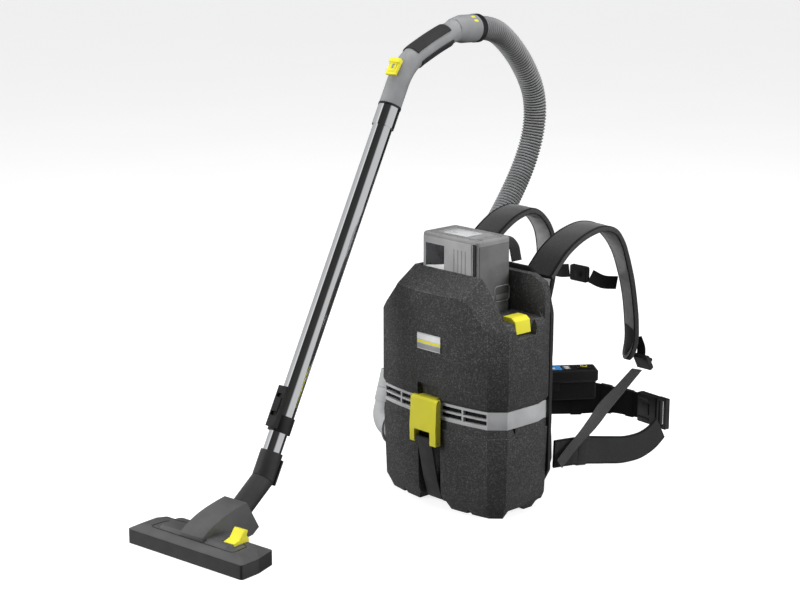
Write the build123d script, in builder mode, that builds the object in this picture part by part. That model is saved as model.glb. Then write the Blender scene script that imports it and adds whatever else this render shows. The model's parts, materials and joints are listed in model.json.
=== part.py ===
"""Battery backpack vacuum cleaner with its harness, suction hose, telescopic wand and floor nozzle.

Millimetres. The origin is on the floor under the middle of the container's feet: +Z is up, -Y is the
outer face of the backpack and +Y the side that the wearer's back is on. The wand, handle and nozzle stand
in a vertical plane of their own, turned by WAND_YAW about the middle of the nozzle: across(), along() and
up are the distances from that point.
"""

import os
from math import cos, pi, radians, sin, tan

from build123d import *

os.makedirs("parts", exist_ok=True)

# ---------------------------------------------------------------- driving dimensions
WIDTH = 317.0  # across the foam shells
FRONT = -75.0  # Y of the shells' front corners
CROWN = 15.0  # how far the front bulges at its middle
REAR = 62.0  # Y of the shells' flat rear
CORNER = 27.0  # legs of the vertical front chamfers
BAND_LOW, BAND_TOP = 168.0, 200.0  # the light exhaust band between the shells
SHELL_TOP = 426.0
FOOT = 14.0  # height of the container's feet
FOAM = 14.0  # wall of the foam shells
GAP = 0.4  # left between pieces that only touch

GROOVE_W, GROOVE_Y = 56.0, -60.0  # the channel for the closing strap down the container's front
RIM_Z = 152.0  # the container's walls step in above this

BATTERY = (139.0, 84.0, 143.0)  # width, depth, height
BATTERY_Y, BATTERY_Z = 4.0, 345.0
SHELF_Z = 355.0  # floor beside the battery, open to the right
MOTOR_R, MOTOR_AT = 42.0, (0.0, -12.0)

PORT_Y, PORT_Z, PORT_R = -20.0, 98.0, 30.0  # the suction inlet in the container's left side
ELBOW_X = -192.0  # where the elbow turns up
HOSE_R, HOSE_BORE = 22.5, 19.0

STRAP_X, STRAP_W, STRAP_T = 85.0, 66.0, 11.0  # shoulder straps
WEB_W, WEB_T = 25.0, 2.0
BELT_W, BELT_T = 52.0, 6.0  # hip belt
WING_W = 70.0  # the belt's padded wing

WAND_YAW = 7.2
WAND_AT = Vector(-90, -530, 0)  # on the floor under the middle of the nozzle
WAND_LEAN = 29.4  # of the tubes from upright
KNEE = (151.0, 93.0)  # along and up: where the neck meets the tubes' axis
TILT = (62.0, 30.7)  # along and up: the neck's pivot in the nozzle's hood
SWIVEL_LEAN = 42.0  # of the neck's swivel axis from upright
TUBE_R, TUBE_WALL = 18.0, 1.0
TUBE_LOW, TUBE_TOP = 90.0, 699.0  # the outer tube, measured up the axis from the knee
INNER_R = 16.4
SOCKET_TOP = 49.0
NOZZLE_W, NOZZLE_D, NOZZLE_H = 270.0, 84.0, 25.0


def save(part, label):
    """Names a finished piece and writes it as one STEP file."""
    part.label = label
    export_step(part, f"parts/{label}.step")


# ---------------------------------------------------------------- frames of the wand
YAW = radians(WAND_YAW)
ACROSS = Vector(cos(YAW), sin(YAW), 0)
ALONG = Vector(-sin(YAW), cos(YAW), 0)


def wand(across, along, up):
    """A point of the wand's own frame, in the part's frame."""
    return WAND_AT + ACROSS * across + ALONG * along + Vector(0, 0, up)


def side_plane(across=0.0):
    """The wand's upright plane: its x is along, its y is up."""
    return Plane(origin=wand(across, 0, 0), x_dir=ALONG, z_dir=ACROSS)


def leaning(lean):
    """The direction in the wand's plane that leans by so many degrees from upright."""
    return ALONG * sin(radians(lean)) + Vector(0, 0, cos(radians(lean)))


AXIS = leaning(WAND_LEAN)
KNEE_AT = wand(0, *KNEE)


def tube_plane(distance):
    """A plane across the wand's tubes, so far up their axis from the knee."""
    return Plane(origin=KNEE_AT + AXIS * distance, x_dir=ACROSS, z_dir=AXIS)


def ring(plane, outer, inner, length):
    """A round sleeve that grows from a plane."""
    with BuildPart() as sleeve:
        with BuildSketch(plane):
            Circle(outer)
            if inner:
                Circle(inner, mode=Mode.SUBTRACT)
        extrude(amount=length)
    return sleeve.part


def swept(path, start, outer, inner=0.0):
    """A round pipe along a path."""
    with BuildPart() as pipe:
        with BuildLine():
            add(path)
        with BuildSketch(start):
            Circle(outer)
            if inner:
                Circle(inner, mode=Mode.SUBTRACT)
        sweep()
    return pipe.part


def rounded_path(points, share=0.45):
    """Straight runs joined by tangent arcs, each as large as its two runs allow, and the arcs' radii."""
    runs = [b - a for a, b in zip(points, points[1:])]
    radii = []
    for before, after in zip(runs, runs[1:]):
        shorter = min(before.length, after.length)
        radii.append(share * shorter / tan(radians(before.get_angle(after) / 2)))
    with BuildLine() as path:
        FilletPolyline(*points, radius=radii)
    return path.wires()[0], radii


def ribbon(plane, points, thickness, width, share=0.45):
    """A flat band: a path drawn on a plane, thickened there and extruded both ways to its width."""
    flat = [Vector(x, y, 0) for x, y in points]
    runs = [b - a for a, b in zip(flat, flat[1:])]
    radii = []
    for before, after in zip(runs, runs[1:]):
        shorter = min(before.length, after.length)
        radii.append(share * shorter / tan(radians(before.get_angle(after) / 2)))
    with BuildPart() as band:
        with BuildSketch(plane):
            with BuildLine():
                FilletPolyline(*points, radius=radii) if radii else Polyline(*points)
            trace(line_width=thickness)
        extrude(amount=width / 2, both=True)
    return band.part


def strip(places, thickness):
    """A flat band through places, each its centre, the direction across the band there and its width."""
    centres = [Vector(*at) for at, _, _ in places]
    with BuildPart() as band:
        for i, (_, across, width) in enumerate(places):
            forward = centres[min(i + 1, len(centres) - 1)] - centres[max(i - 1, 0)]
            level = Vector(*across) - forward * (Vector(*across).dot(forward) / forward.dot(forward))
            with BuildSketch(Plane(origin=centres[i], x_dir=level, z_dir=forward)):
                Rectangle(width, thickness)
        loft(ruled=True)
    return band.part


# ---------------------------------------------------------------- foam shells
def plan(inset, z, rear=None):
    """Outline of the backpack from above: crowned front, chamfered front corners, narrower rear."""
    side, front, corner = WIDTH / 2 - inset, FRONT + inset, CORNER - 0.6 * inset
    back = REAR if rear is None else rear
    with BuildSketch(Plane.XY.offset(z)) as outline:
        with BuildLine():
            ThreePointArc((-side + corner, front), (0, front - CROWN), (side - corner, front))
            Polyline(
                (side - corner, front),
                (side, front + corner),
                (side, back - 30),
                (side - 8, back - 8),
                (side - 8, back),
                (-side + 8, back),
                (-side + 8, back - 8),
                (-side, back - 30),
                (-side, front + corner),
                (-side + corner, front),
            )
        make_face()
    return outline.sketch


def prism(sketch, height):
    """A sketch extruded on its own, outside the part being built."""
    with BuildPart(mode=Mode.PRIVATE) as solid:
        extrude(sketch, amount=height)
    return solid.part


def wall(outer, inner, low, high, back=None):
    """A ring between two insets of the backpack's outline."""
    with BuildPart() as shell:
        add(prism(plan(outer, low, REAR - outer if back is None else back), high - low))
        add(prism(plan(inner, low, REAR - inner), high - low), mode=Mode.SUBTRACT)
    return shell.part


def shoulders(y, points):
    """Outline of the head from the front at depth y, mirrored about its middle."""
    with BuildSketch(Plane.XZ.offset(-y)) as outline:
        with BuildLine():
            Polyline(*points, *[(-x, z) for x, z in reversed(points)], close=True)
        make_face()
    return outline.sketch


WALL_IN = 7 + FOAM
SIDE_Y = 44.0  # how far forward the sides' sloped rims reach
CREASE_Z = 28.0  # below this the container slopes in towards its feet
with BuildPart() as container:
    loft([plan(13, FOOT), plan(6, CREASE_Z), plan(1, RIM_Z)], ruled=True)
    add(prism(plan(4, RIM_Z), BAND_LOW - GAP - RIM_Z))
    # four corner feet and a middle one, drawn in towards the floor
    with BuildSketch(Plane.XY.offset(FOOT)) as feet:
        for side in (-1, 1):
            with Locations((side * 100, -70)):
                Rectangle(132, 76)
            with Locations((side * 112, 34)):
                Rectangle(50, 34)
        add(plan(13, FOOT), mode=Mode.INTERSECT)
        with Locations((0, 8)):
            Rectangle(52, 40)
    extrude(amount=-FOOT, taper=25)
    # a notch in each front foot
    for side in (-1, 1):
        with BuildSketch(Plane.XZ.offset(100)):
            with Locations((side * 82, 0)):
                Polygon((-17, -1), (17, -1), (0, 25), align=None)
        with BuildSketch(Plane.XZ.offset(52)):
            with Locations((side * 82, 0)):
                Polygon((-3, -1), (3, -1), (0, 2), align=None)
        loft(mode=Mode.SUBTRACT)
    # the sides slope in above the rim
    for side in (-1, 1):
        with BuildSketch(Plane.XZ.offset(SIDE_Y)):
            with Locations((side * (WIDTH / 2), 0)):
                Polygon(
                    (-side, 147), (-side * 10, BAND_LOW), (side * 9, BAND_LOW), (side * 9, 147), align=None,
                )
        extrude(amount=SIDE_Y - REAR, mode=Mode.SUBTRACT)
    with Locations((0, GROOVE_Y - 30, 90)):
        Box(GROOVE_W, 60, 200, mode=Mode.SUBTRACT)
    # the hollow for the filter bag, kept clear of the groove
    with BuildSketch(Plane.XY.offset(FOOT + FOAM)):
        add(plan(WALL_IN, 0, REAR - FOAM).face())
        with Locations((0, GROOVE_Y - 30)):
            Rectangle(GROOVE_W + 2 * FOAM, 60 + 2 * FOAM, mode=Mode.SUBTRACT)
    extrude(amount=BAND_LOW, mode=Mode.SUBTRACT)
    with BuildSketch(Plane.YZ.offset(-WIDTH / 2 - 5)):
        with Locations((PORT_Y, PORT_Z)):
            Circle(PORT_R + GAP)
    extrude(amount=40, mode=Mode.SUBTRACT)
save(container.part, "container_shell")

BIG = [(170, 190), (170, 330), (137.5, 371), (83, SHELL_TOP)]
SMALL = [(170, 190), (170, 262), (125.5, 335.5), (84, 394)]
BACK = [(170, 190), (170, 345), (157, 387), (144, 415), (119, SHELL_TOP)]
BEVEL_Y, FACE_Y = -42.0, -89.0
BAY_X, BAY_Y = BATTERY[0] / 2 + 2, BATTERY[1] / 2 + 1.5
BAY_FRONT, BAY_REAR = BATTERY_Y - BAY_Y, BATTERY_Y + BAY_Y
DOCK_Z = BATTERY_Z - 8
KEY_Y = -5.0

with BuildPart() as head:
    loft([plan(5, BAND_TOP + GAP), plan(0, BAND_TOP + 10)], ruled=True)
    add(prism(plan(0, BAND_TOP + 10), SHELL_TOP))
    with BuildPart(mode=Mode.PRIVATE) as envelope:
        extrude(shoulders(BEVEL_Y, BIG), amount=BEVEL_Y - BAY_REAR)
        extrude(shoulders(BAY_REAR, BACK), amount=BAY_REAR - REAR - 1)
        loft([shoulders(BEVEL_Y, BIG), shoulders(FACE_Y, SMALL)], ruled=True)
        extrude(shoulders(FACE_Y, SMALL), amount=20)
    add(envelope.part, mode=Mode.INTERSECT)
    # battery bay, open at the top and, above the shelf, to the right
    with Locations((0, BATTERY_Y, DOCK_Z)):
        Box(2 * BAY_X, 2 * BAY_Y, 200, align=(Align.CENTER, Align.CENTER, Align.MIN), mode=Mode.SUBTRACT)
    with BuildSketch(Plane.XY.offset(SHELF_Z)):
        Polygon((0, BAY_FRONT), (90, BAY_FRONT), (180, -52), (180, 24), (156, 40), (130, BAY_REAR),
                (0, BAY_REAR), align=None)
    extrude(amount=200, mode=Mode.SUBTRACT)
    # motor chamber, open below
    with BuildSketch(Plane.XY.offset(BAND_TOP)):
        add(plan(FOAM + 2, 0, REAR - FOAM).face())
    extrude(amount=118, mode=Mode.SUBTRACT)
    with Locations((145, KEY_Y, 352)):
        Box(60, 42, 44, mode=Mode.SUBTRACT)
    with BuildSketch(Plane.YZ.offset(148)):
        with Locations((KEY_Y, 0)):
            Polygon((-29, SHELF_Z + 1), (-23, 329), (23, 329), (29, SHELF_Z + 1), align=None)
    extrude(amount=20, mode=Mode.SUBTRACT)
    # finger scoop over the latch
    with Locations((0, -92, 205)):
        Box(54, 26, 44, mode=Mode.SUBTRACT)
save(head.part, "head_shell")

# ---------------------------------------------------------------- exhaust band, filters and motor
SLOT_PITCH, SLOT_W, SLOT_H = 52.0, 48.0, 8.5
PLATE_TOP = BAND_LOW + 3
with BuildPart() as band:
    add(wall(4, 10, BAND_LOW, BAND_TOP, REAR))
    add(prism(plan(4, BAND_LOW), PLATE_TOP - BAND_LOW))
    with BuildSketch(Plane.XY.offset(BAND_LOW)):
        with Locations(MOTOR_AT):
            Circle(34)
    extrude(amount=10, mode=Mode.SUBTRACT)
    with BuildSketch(Plane.XZ.offset(60)):
        for z in (179, 191):
            with Locations((0, z)):
                with GridLocations(SLOT_PITCH, 0, 5, 1):
                    Rectangle(SLOT_W, SLOT_H)
    extrude(amount=60, mode=Mode.SUBTRACT)
save(band.part, "exhaust_band")
save(wall(10.5, 15.5, PLATE_TOP + GAP, BAND_TOP - 1), "exhaust_filter")
with BuildPart() as seal:
    add(wall(WALL_IN + 1, WALL_IN + 3.5, BAND_LOW - 8, BAND_LOW))
    with Locations((0, GROOVE_Y - FOAM - 20, BAND_LOW)):
        Box(GROOVE_W + 2 * FOAM + 2, 72, 40, mode=Mode.SUBTRACT)
    add(seal.part.solids().sort_by(SortBy.VOLUME)[-1], mode=Mode.REPLACE)
save(seal.part, "rim_seal")

with BuildPart() as mount:
    with BuildSketch(Plane.XY.offset(PLATE_TOP)):
        with Locations(MOTOR_AT):
            Circle(MOTOR_R + 3)
            Circle(34, mode=Mode.SUBTRACT)
    extrude(amount=5)
save(mount.part, "motor_mount")

with BuildPart() as motor:
    with BuildSketch(Plane.XY.offset(PLATE_TOP + 5)):
        with Locations(MOTOR_AT):
            Circle(MOTOR_R)
    extrude(amount=46)
    with BuildSketch(Plane.XY.offset(PLATE_TOP + 51)):
        with Locations(MOTOR_AT):
            Circle(30)
    extrude(amount=48)
    fillet(motor.edges().filter_by(GeomType.CIRCLE).group_by(Axis.Z)[-1], 6)
save(motor.part, "motor")

with BuildPart() as board:
    with Locations((98, -8, 240)):
        Box(58, 56, 1.6)
    with Locations((86, -20, 247)):
        Box(22, 22, 12.4)
    with Locations((112, 2, 246)):
        Box(14, 26, 10.4)
save(board.part, "circuit_board")

# ---------------------------------------------------------------- battery, its dock and release key
with BuildPart() as dock:
    with Locations((0, BATTERY_Y, DOCK_Z + 2.5)):
        Box(2 * BAY_X - 1, 2 * BAY_Y - 1, 5)
    with Locations((0, BATTERY_Y, DOCK_Z + 6)):
        with GridLocations(14, 0, 4, 1):
            Box(2, 30, 3)
save(dock.part, "battery_dock")

CLIP_Y, CLIP_Z = 24.0, 387.0
with BuildPart() as battery:
    with Locations((0, BATTERY_Y, BATTERY_Z)):
        Box(*BATTERY, align=(Align.CENTER, Align.CENTER, Align.MIN))
    fillet(battery.edges().filter_by(Axis.Z), 8)
    fillet(battery.edges().group_by(Axis.Z)[-1], 5)
    with Locations((0, BATTERY_Y, BATTERY_Z + BATTERY[2])):
        Box(92, 50, 3, mode=Mode.SUBTRACT)
    with Locations((BATTERY[0] / 2, CLIP_Y, CLIP_Z)):
        Box(20, 33, 25, mode=Mode.SUBTRACT)
save(battery.part, "battery")

with BuildPart() as clip:
    with Locations((BATTERY[0] / 2 - 2.5, CLIP_Y, CLIP_Z)):
        Box(6, 31, 23)
    fillet(clip.edges().filter_by(Axis.X), 4)
save(clip.part, "battery_clip")

with BuildPart() as key:
    with BuildSketch(Plane.XZ.offset(-KEY_Y)):
        Polygon((119, 334), (119, 363), (139, 363), (148, 357), (151, 334), align=None)
    extrude(amount=19, both=True)
    fillet(key.edges().filter_by(Axis.Y), 1.5)
save(key.part, "release_key")

with BuildPart() as badge:
    with BuildSketch(Plane.XZ.offset(60)):
        with Locations((3, 305)):
            Rectangle(58, 29)
    extrude(amount=60)
    add(prism(plan(-1.6, 280), 60), mode=Mode.INTERSECT)
    add(prism(plan(-0.3, 280), 60), mode=Mode.SUBTRACT)
save(badge.part, "badge")

# ---------------------------------------------------------------- latch and closing strap
PIN_Y, PIN_Z, PIN_R = -97.0, 127.0, 2.0
STRAP_MID, STRAP_HALF = -1.0, 18.0
with BuildPart() as latch:
    with BuildSketch(Plane.YZ.offset(-32)):
        with BuildLine():
            Polyline(
                (-91, 121), (-103, 121), (-104, 150), (-101, 202), (-97, 205.5),
                (-80.5, 205.5), (-80.5, 202.5), (-91, 201), close=True,
            )
        make_face()
    extrude(amount=66)
    with Locations((0, -82, 205)):
        for side in (-1, 1):
            with Locations((side * 36, 0, 0)):
                Box(28, 18, 30, mode=Mode.SUBTRACT)
    # the strap passes between a narrow leg and a wide one
    with Locations((STRAP_MID, -97, 128)):
        Box(2 * STRAP_HALF + 3, 30, 34, mode=Mode.SUBTRACT)
    with Locations(Location((0, PIN_Y, PIN_Z), (0, 90, 0))):
        Cylinder(PIN_R + 0.05, 90, mode=Mode.SUBTRACT)
save(latch.part, "latch")

with BuildPart() as pin:
    with Locations(Location((1, PIN_Y, PIN_Z), (0, 90, 0))):
        Cylinder(PIN_R, 66)
save(pin.part, "strap_pin")

with BuildPart() as closing:
    with BuildSketch(Plane.YZ.offset(STRAP_MID)):
        with BuildLine():
            FilletPolyline((PIN_Y + 1, PIN_Z - 3), (-80, 50), (-67, 9), (-20, 9), radius=[30, 12])
        trace(line_width=3.4)
        with Locations((PIN_Y, PIN_Z)):
            Circle(5)
            Circle(PIN_R + 0.05, mode=Mode.SUBTRACT)
    extrude(amount=STRAP_HALF, both=True)
save(closing.part, "closing_strap")

# ---------------------------------------------------------------- suction inlet
SIDE_X = -WIDTH / 2
PORT = Plane(origin=(SIDE_X - 4, PORT_Y, PORT_Z), x_dir=(0, 1, 0), z_dir=(1, 0, 0))
with BuildPart() as port:
    add(ring(PORT, PORT_R, 24.06, 26))
    add(ring(PORT, PORT_R + 4, 24.06, 3.5))
save(port.part, "inlet_port")
save(ring(PORT.offset(26.4), PORT_R - 1, 22, 3), "inlet_seal")

with BuildPart() as bag:
    with Locations((0, -4, 84)):
        Box(236, 74, 104)
    fillet(bag.edges(), 16)
save(bag.part, "filter_bag")

RISE = Vector(0, 0.3, 0.954).normalized()  # the way the elbow's upper end points
CORNER_AT = Vector(ELBOW_X, PORT_Y, PORT_Z)
ELBOW_TOP = CORNER_AT + RISE * 66
HOSE_START = CORNER_AT + RISE * 100
SPIGOT_END = Vector(PORT.origin.X + 24, PORT_Y, PORT_Z)
elbow_start = Plane(origin=SPIGOT_END, x_dir=(0, 1, 0), z_dir=(-1, 0, 0))
with BuildLine() as elbow_path:
    FilletPolyline(SPIGOT_END, CORNER_AT, ELBOW_TOP, radius=26)
with BuildPart() as elbow:
    add(swept(elbow_path.wires()[0], elbow_start, 24, 20))
    with BuildSketch(Plane(origin=CORNER_AT + RISE * 40, z_dir=RISE)):
        Circle(26)
        Circle(23, mode=Mode.SUBTRACT)
    extrude(amount=26)
save(elbow.part, "inlet_elbow")
save(ring(Plane(origin=(PORT.origin.X - GAP, PORT_Y, PORT_Z), z_dir=(-1, 0, 0)), 29, 24.2, 3), "elbow_collar")

# ---------------------------------------------------------------- handle, in the wand's plane
MOUTH = KNEE_AT + AXIS * TUBE_TOP
CUFF_END = (750.0, 822.5)
CUFF_LEAN = 92.0
CUFF = leaning(CUFF_LEAN)
END_AT = wand(0, *CUFF_END)
GRIP_POINTS = [
    KNEE_AT + AXIS * (TUBE_TOP - 58),
    KNEE_AT + AXIS * (TUBE_TOP + 84),
    wand(0, 618, 806),
    END_AT - CUFF * 66,
    END_AT - CUFF * 34,
]
grip_path, grip_radii = rounded_path(GRIP_POINTS)
HANDLE_R, HANDLE_BORE = 20.5, 15.0
CUFF_R, CUFF_BORE = 26.0, 23.4
CUFF_PLANE = Plane(origin=END_AT, x_dir=ACROSS, z_dir=CUFF)

AIR = Plane(origin=KNEE_AT + AXIS * (TUBE_TOP + 62), x_dir=ACROSS, z_dir=leaning(WAND_LEAN + 8))
with BuildPart() as handle:
    with BuildLine():
        FilletPolyline(MOUTH + AXIS * 2, *GRIP_POINTS[1:], radius=grip_radii)
    with BuildSketch(tube_plane(TUBE_TOP + 2)):
        Circle(HANDLE_R)
    sweep()
    add(ring(tube_plane(TUBE_TOP - 58), INNER_R, 0, 62))
    with BuildSketch(CUFF_PLANE.offset(-74)):
        Circle(21)
    with BuildSketch(CUFF_PLANE.offset(-50)):
        Circle(CUFF_R)
    loft()
    add(ring(CUFF_PLANE.offset(-50), CUFF_R, 0, 36))
    add(swept(grip_path, tube_plane(TUBE_TOP - 58), HANDLE_BORE - 1), mode=Mode.SUBTRACT)
    add(ring(CUFF_PLANE.offset(-50), CUFF_BORE, 0, 60), mode=Mode.SUBTRACT)
    # flat seat of the air slider, on the front of the lower grip
    with Locations(AIR.location):
        with Locations((0, -26, 3)):
            Box(26, 12, 42, mode=Mode.SUBTRACT)
save(handle.part, "handle_shell")

with BuildPart() as slider:
    with BuildSketch(AIR.offset(-15)):
        with Locations((0, -20.6 - 3)):
            Rectangle(23, 6)
    extrude(amount=32)
    with BuildSketch(AIR.offset(8)):
        with Locations((0, -20.6 - 5)):
            Rectangle(23, 10)
    extrude(amount=9)
save(slider.part, "air_slider")


def grip(name, middle, spread):
    """A rubber inlay on the grip: a sector of a sleeve around it, along the middle of its bend."""
    with BuildPart() as inlay:
        with BuildLine():
            add(grip_path.trim(0.50, 0.80))
        start = grip_path.location_at(0.50)
        section = Plane(origin=start.position, x_dir=ACROSS, z_dir=grip_path.tangent_at(0.50))
        with BuildSketch(section):
            Circle(HANDLE_R + 2.4)
            Circle(HANDLE_R + 0.3, mode=Mode.SUBTRACT)
            with Locations(Rotation(0, 0, middle)):
                side = 100 * tan(radians(spread))
                Polygon((0, 0), (100, side), (100, -side), align=None, mode=Mode.INTERSECT)
        sweep()
    save(inlay.part, name)


grip("grip_top", 90, 74)
grip("grip_bottom", -90, 58)
save(ring(CUFF_PLANE.offset(-13.5), CUFF_R + 0.8, CUFF_BORE, 13), "swivel_ring")

# ---------------------------------------------------------------- hose
HOSE_POINTS = [
    HOSE_START,
    HOSE_START + RISE * 70,
    Vector(-191, 98, 322),
    Vector(-192, 178, 362),
    Vector(-196, 262, 412),
    Vector(-204, 327, 477),
    Vector(-207, 378, 548),
    Vector(-206, 402, 618),
    Vector(-203, 396, 682),
    Vector(-200, 360, 740),
    Vector(-196, 312, 788),
    END_AT + CUFF * 45,
    END_AT,
]
hose_path, hose_radii = rounded_path(HOSE_POINTS)
hose_start = Plane(origin=HOSE_START, z_dir=HOSE_POINTS[1] - HOSE_START)
with BuildPart() as hose:
    add(swept(hose_path, hose_start, HOSE_R, HOSE_BORE))
save(hose.part, "hose")
section = pi * (HOSE_R**2 - HOSE_BORE**2)

with BuildPart() as lower_cuff:
    with BuildSketch(Plane(origin=ELBOW_TOP + RISE * GAP, z_dir=RISE)):
        Circle(26)
        Circle(19, mode=Mode.SUBTRACT)
    extrude(amount=(HOSE_START - ELBOW_TOP).length - GAP)
save(lower_cuff.part, "hose_lower_cuff")
save(ring(CUFF_PLANE.offset(-45), CUFF_BORE - 0.05, 19, 45), "hose_upper_cuff")

# ---------------------------------------------------------------- telescopic tubes
with BuildPart() as upper:
    add(ring(tube_plane(TUBE_LOW), TUBE_R, TUBE_R - TUBE_WALL, TUBE_TOP - TUBE_LOW - 40))
    with BuildSketch(tube_plane(TUBE_TOP - 40)):
        Circle(20.4)
        Circle(TUBE_R - TUBE_WALL, mode=Mode.SUBTRACT)
    extrude(amount=40)
save(upper.part, "upper_tube")
save(ring(tube_plane(TUBE_TOP - 2), 21.2, 20.7, 4), "tube_ring")
save(ring(tube_plane(16), INNER_R, INNER_R - 1, 480), "lower_tube")

LOCK_LOW, LOCK_LENGTH = TUBE_LOW - 6, 74.0
with BuildPart() as lock:
    add(ring(tube_plane(LOCK_LOW), 20.5, 16.7, 5.6))
    add(ring(tube_plane(LOCK_LOW + 5.6), 20.5, TUBE_R + 0.3, 24))
    with BuildSketch(tube_plane(LOCK_LOW + 4)):
        with Locations((0, -22)):
            Rectangle(20, 12)
        Circle(TUBE_R + 0.3, mode=Mode.SUBTRACT)
    extrude(amount=LOCK_LENGTH)
    with Locations(tube_plane(LOCK_LOW + 44).location):
        with Locations((0, -27, 0)):
            Box(14, 8, 40, mode=Mode.SUBTRACT)
save(lock.part, "lock_housing")

with BuildPart() as thumb:
    with Locations(tube_plane(LOCK_LOW + 44).location):
        with Locations((0, -26.6, 0)):
            Box(13, 6, 26)
    fillet(thumb.edges().group_by(SortBy.LENGTH)[-1], 1)
save(thumb.part, "lock_button")

# ---------------------------------------------------------------- neck
SWIVEL = leaning(SWIVEL_LEAN)
SEAM = Plane(origin=KNEE_AT, x_dir=ACROSS, z_dir=SWIVEL)
NECK_R = 20.0


def wedge_above(plane):
    """All that is above a slanted seam, less half a gap."""
    return ring(plane.offset(-GAP / 2), 90, 0, 120)


def wedge_below(plane):
    """All that is below a slanted seam, less half a gap."""
    return ring(plane.offset(GAP / 2 - 120), 90, 0, 120)


with BuildPart() as socket:
    add(ring(tube_plane(-30), NECK_R, 0, SOCKET_TOP + 30))
    add(ring(tube_plane(15.6), INNER_R + 0.3, 0, 60), mode=Mode.SUBTRACT)
    add(ring(tube_plane(-60), NECK_R - 4, 0, 90), mode=Mode.SUBTRACT)
    add(wedge_below(SEAM), mode=Mode.SUBTRACT)
    with BuildSketch(tube_plane(12)):
        with Locations((0, NECK_R + 1.5)):
            Rectangle(9, 4)
        Circle(NECK_R - 1, mode=Mode.SUBTRACT)
    extrude(amount=26)
save(socket.part, "neck_socket")

LOW_LEAN = 55.0
LOW_AXIS = leaning(LOW_LEAN)
LOW = Plane(origin=KNEE_AT, x_dir=ACROSS, z_dir=LOW_AXIS)
BARREL_R, BARREL_W, STUB_R = 20.5, 46.0, 3.0
NECK_REACH = (KNEE[0] - TILT[0]) / sin(radians(LOW_LEAN))
with BuildPart() as neck:
    add(ring(LOW.offset(-NECK_REACH), NECK_R - 0.5, 0, NECK_REACH + 30))
    add(wedge_above(SEAM), mode=Mode.SUBTRACT)
    with BuildSketch(side_plane()):
        with Locations(TILT):
            Circle(BARREL_R)
    extrude(amount=BARREL_W / 2, both=True)
    with BuildSketch(side_plane()):
        with Locations(TILT):
            Circle(BARREL_R - 3.5)
    extrude(amount=BARREL_W / 2 - 4, both=True, mode=Mode.SUBTRACT)
    with BuildSketch(side_plane()):
        with Locations(TILT):
            Circle(STUB_R + 0.05)
    extrude(amount=BARREL_W, both=True, mode=Mode.SUBTRACT)
    add(ring(LOW.offset(-NECK_REACH), NECK_R - 4, 0, NECK_REACH + 60), mode=Mode.SUBTRACT)
save(neck.part, "neck_elbow")

# ---------------------------------------------------------------- floor nozzle
BASE = Plane(origin=WAND_AT, x_dir=ACROSS, z_dir=(0, 0, 1))


def base_plan(inset, z):
    """Outline of the nozzle from above: straight front, ends that narrow to the rear."""
    side, half = NOZZLE_W / 2 - inset, NOZZLE_D / 2 - inset
    with BuildSketch(BASE.offset(z)) as outline:
        with BuildLine():
            Polyline((-side, -half), (side, -half), (side, -half + 40), (side - 10, half), (-side + 10, half),
                     (-side, -half + 40), close=True)
        make_face()
        fillet(outline.vertices(), 5)
    return outline.sketch


PANEL_Z = 33.0
HOOD_W = 53.0
with BuildPart() as base:
    extrude(base_plan(0, 0), amount=NOZZLE_H)
    add(prism(base_plan(6, 7), NOZZLE_H), mode=Mode.SUBTRACT)
    with Locations(BASE.location):
        with Locations((0, -26, 3)):
            Box(214, 9, 12, mode=Mode.SUBTRACT)
        with Locations((0, 2, 3)):
            Box(NOZZLE_W - 40, 18, 12, mode=Mode.SUBTRACT)
        for side in (-1, 1):
            with Locations((side * 100, 27, 3)):
                Box(22, 22, 12, mode=Mode.SUBTRACT)
        # the rear is open for the hood
        with Locations((0, 40, 20)):
            Box(HOOD_W + 2 * GAP, 40, 26, mode=Mode.SUBTRACT)
save(base.part, "nozzle_base")

HOOD_FRONT = -22.0
with BuildPart() as cover:
    loft([base_plan(0, NOZZLE_H + GAP), base_plan(14, PANEL_Z)], ruled=True)
    with BuildSketch(BASE.offset(PANEL_Z)):
        with Locations((0, 8)):
            RectangleRounded(172, 56, 14)
    extrude(amount=5, taper=45)
    with Locations(BASE.location):
        with Locations((0, HOOD_FRONT - GAP + 50, 38)):
            Box(HOOD_W + 2 * GAP, 100, 60, mode=Mode.SUBTRACT)
        with Locations((69, 14, 38)):
            Box(30, 40, 30, mode=Mode.SUBTRACT)
save(cover.part, "nozzle_cover")

HOOD_TOP = [(HOOD_FRONT, 40), (8, 57), (46, 68), (84, 74)]
HOOD_REAR = [(113, 22), (97, 12)]
HOOD_WALL = 2.6
with BuildPart() as hood:
    with BuildSketch(side_plane()):
        with BuildLine():
            Spline(*HOOD_TOP)
            Polyline(HOOD_TOP[-1], *HOOD_REAR, (36, 8), (HOOD_FRONT, 8), HOOD_TOP[0])
        make_face()
    extrude(amount=HOOD_W / 2, both=True)
    with BuildSketch(side_plane()):
        with BuildLine():
            Spline(*[(s + 1, z - HOOD_WALL) for s, z in HOOD_TOP], (130, 78))
            Polyline((130, 78), (130, 0), (HOOD_FRONT + 3, 0), (HOOD_FRONT + 1, 40 - HOOD_WALL))
        make_face()
    extrude(amount=HOOD_W / 2 - HOOD_WALL, both=True, mode=Mode.SUBTRACT)
    with BuildSketch(side_plane()):
        with Locations(TILT):
            Circle(STUB_R + 0.05)
    extrude(amount=HOOD_W, both=True, mode=Mode.SUBTRACT)
save(hood.part, "nozzle_hood")

with BuildPart() as stubs:
    for side in (-1, 1):
        with BuildSketch(side_plane(side * (HOOD_W / 2 - 3.5) - 3.5)):
            with Locations(TILT):
                Circle(STUB_R)
        extrude(amount=7)
save(stubs.part, "tilt_pins")

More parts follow.
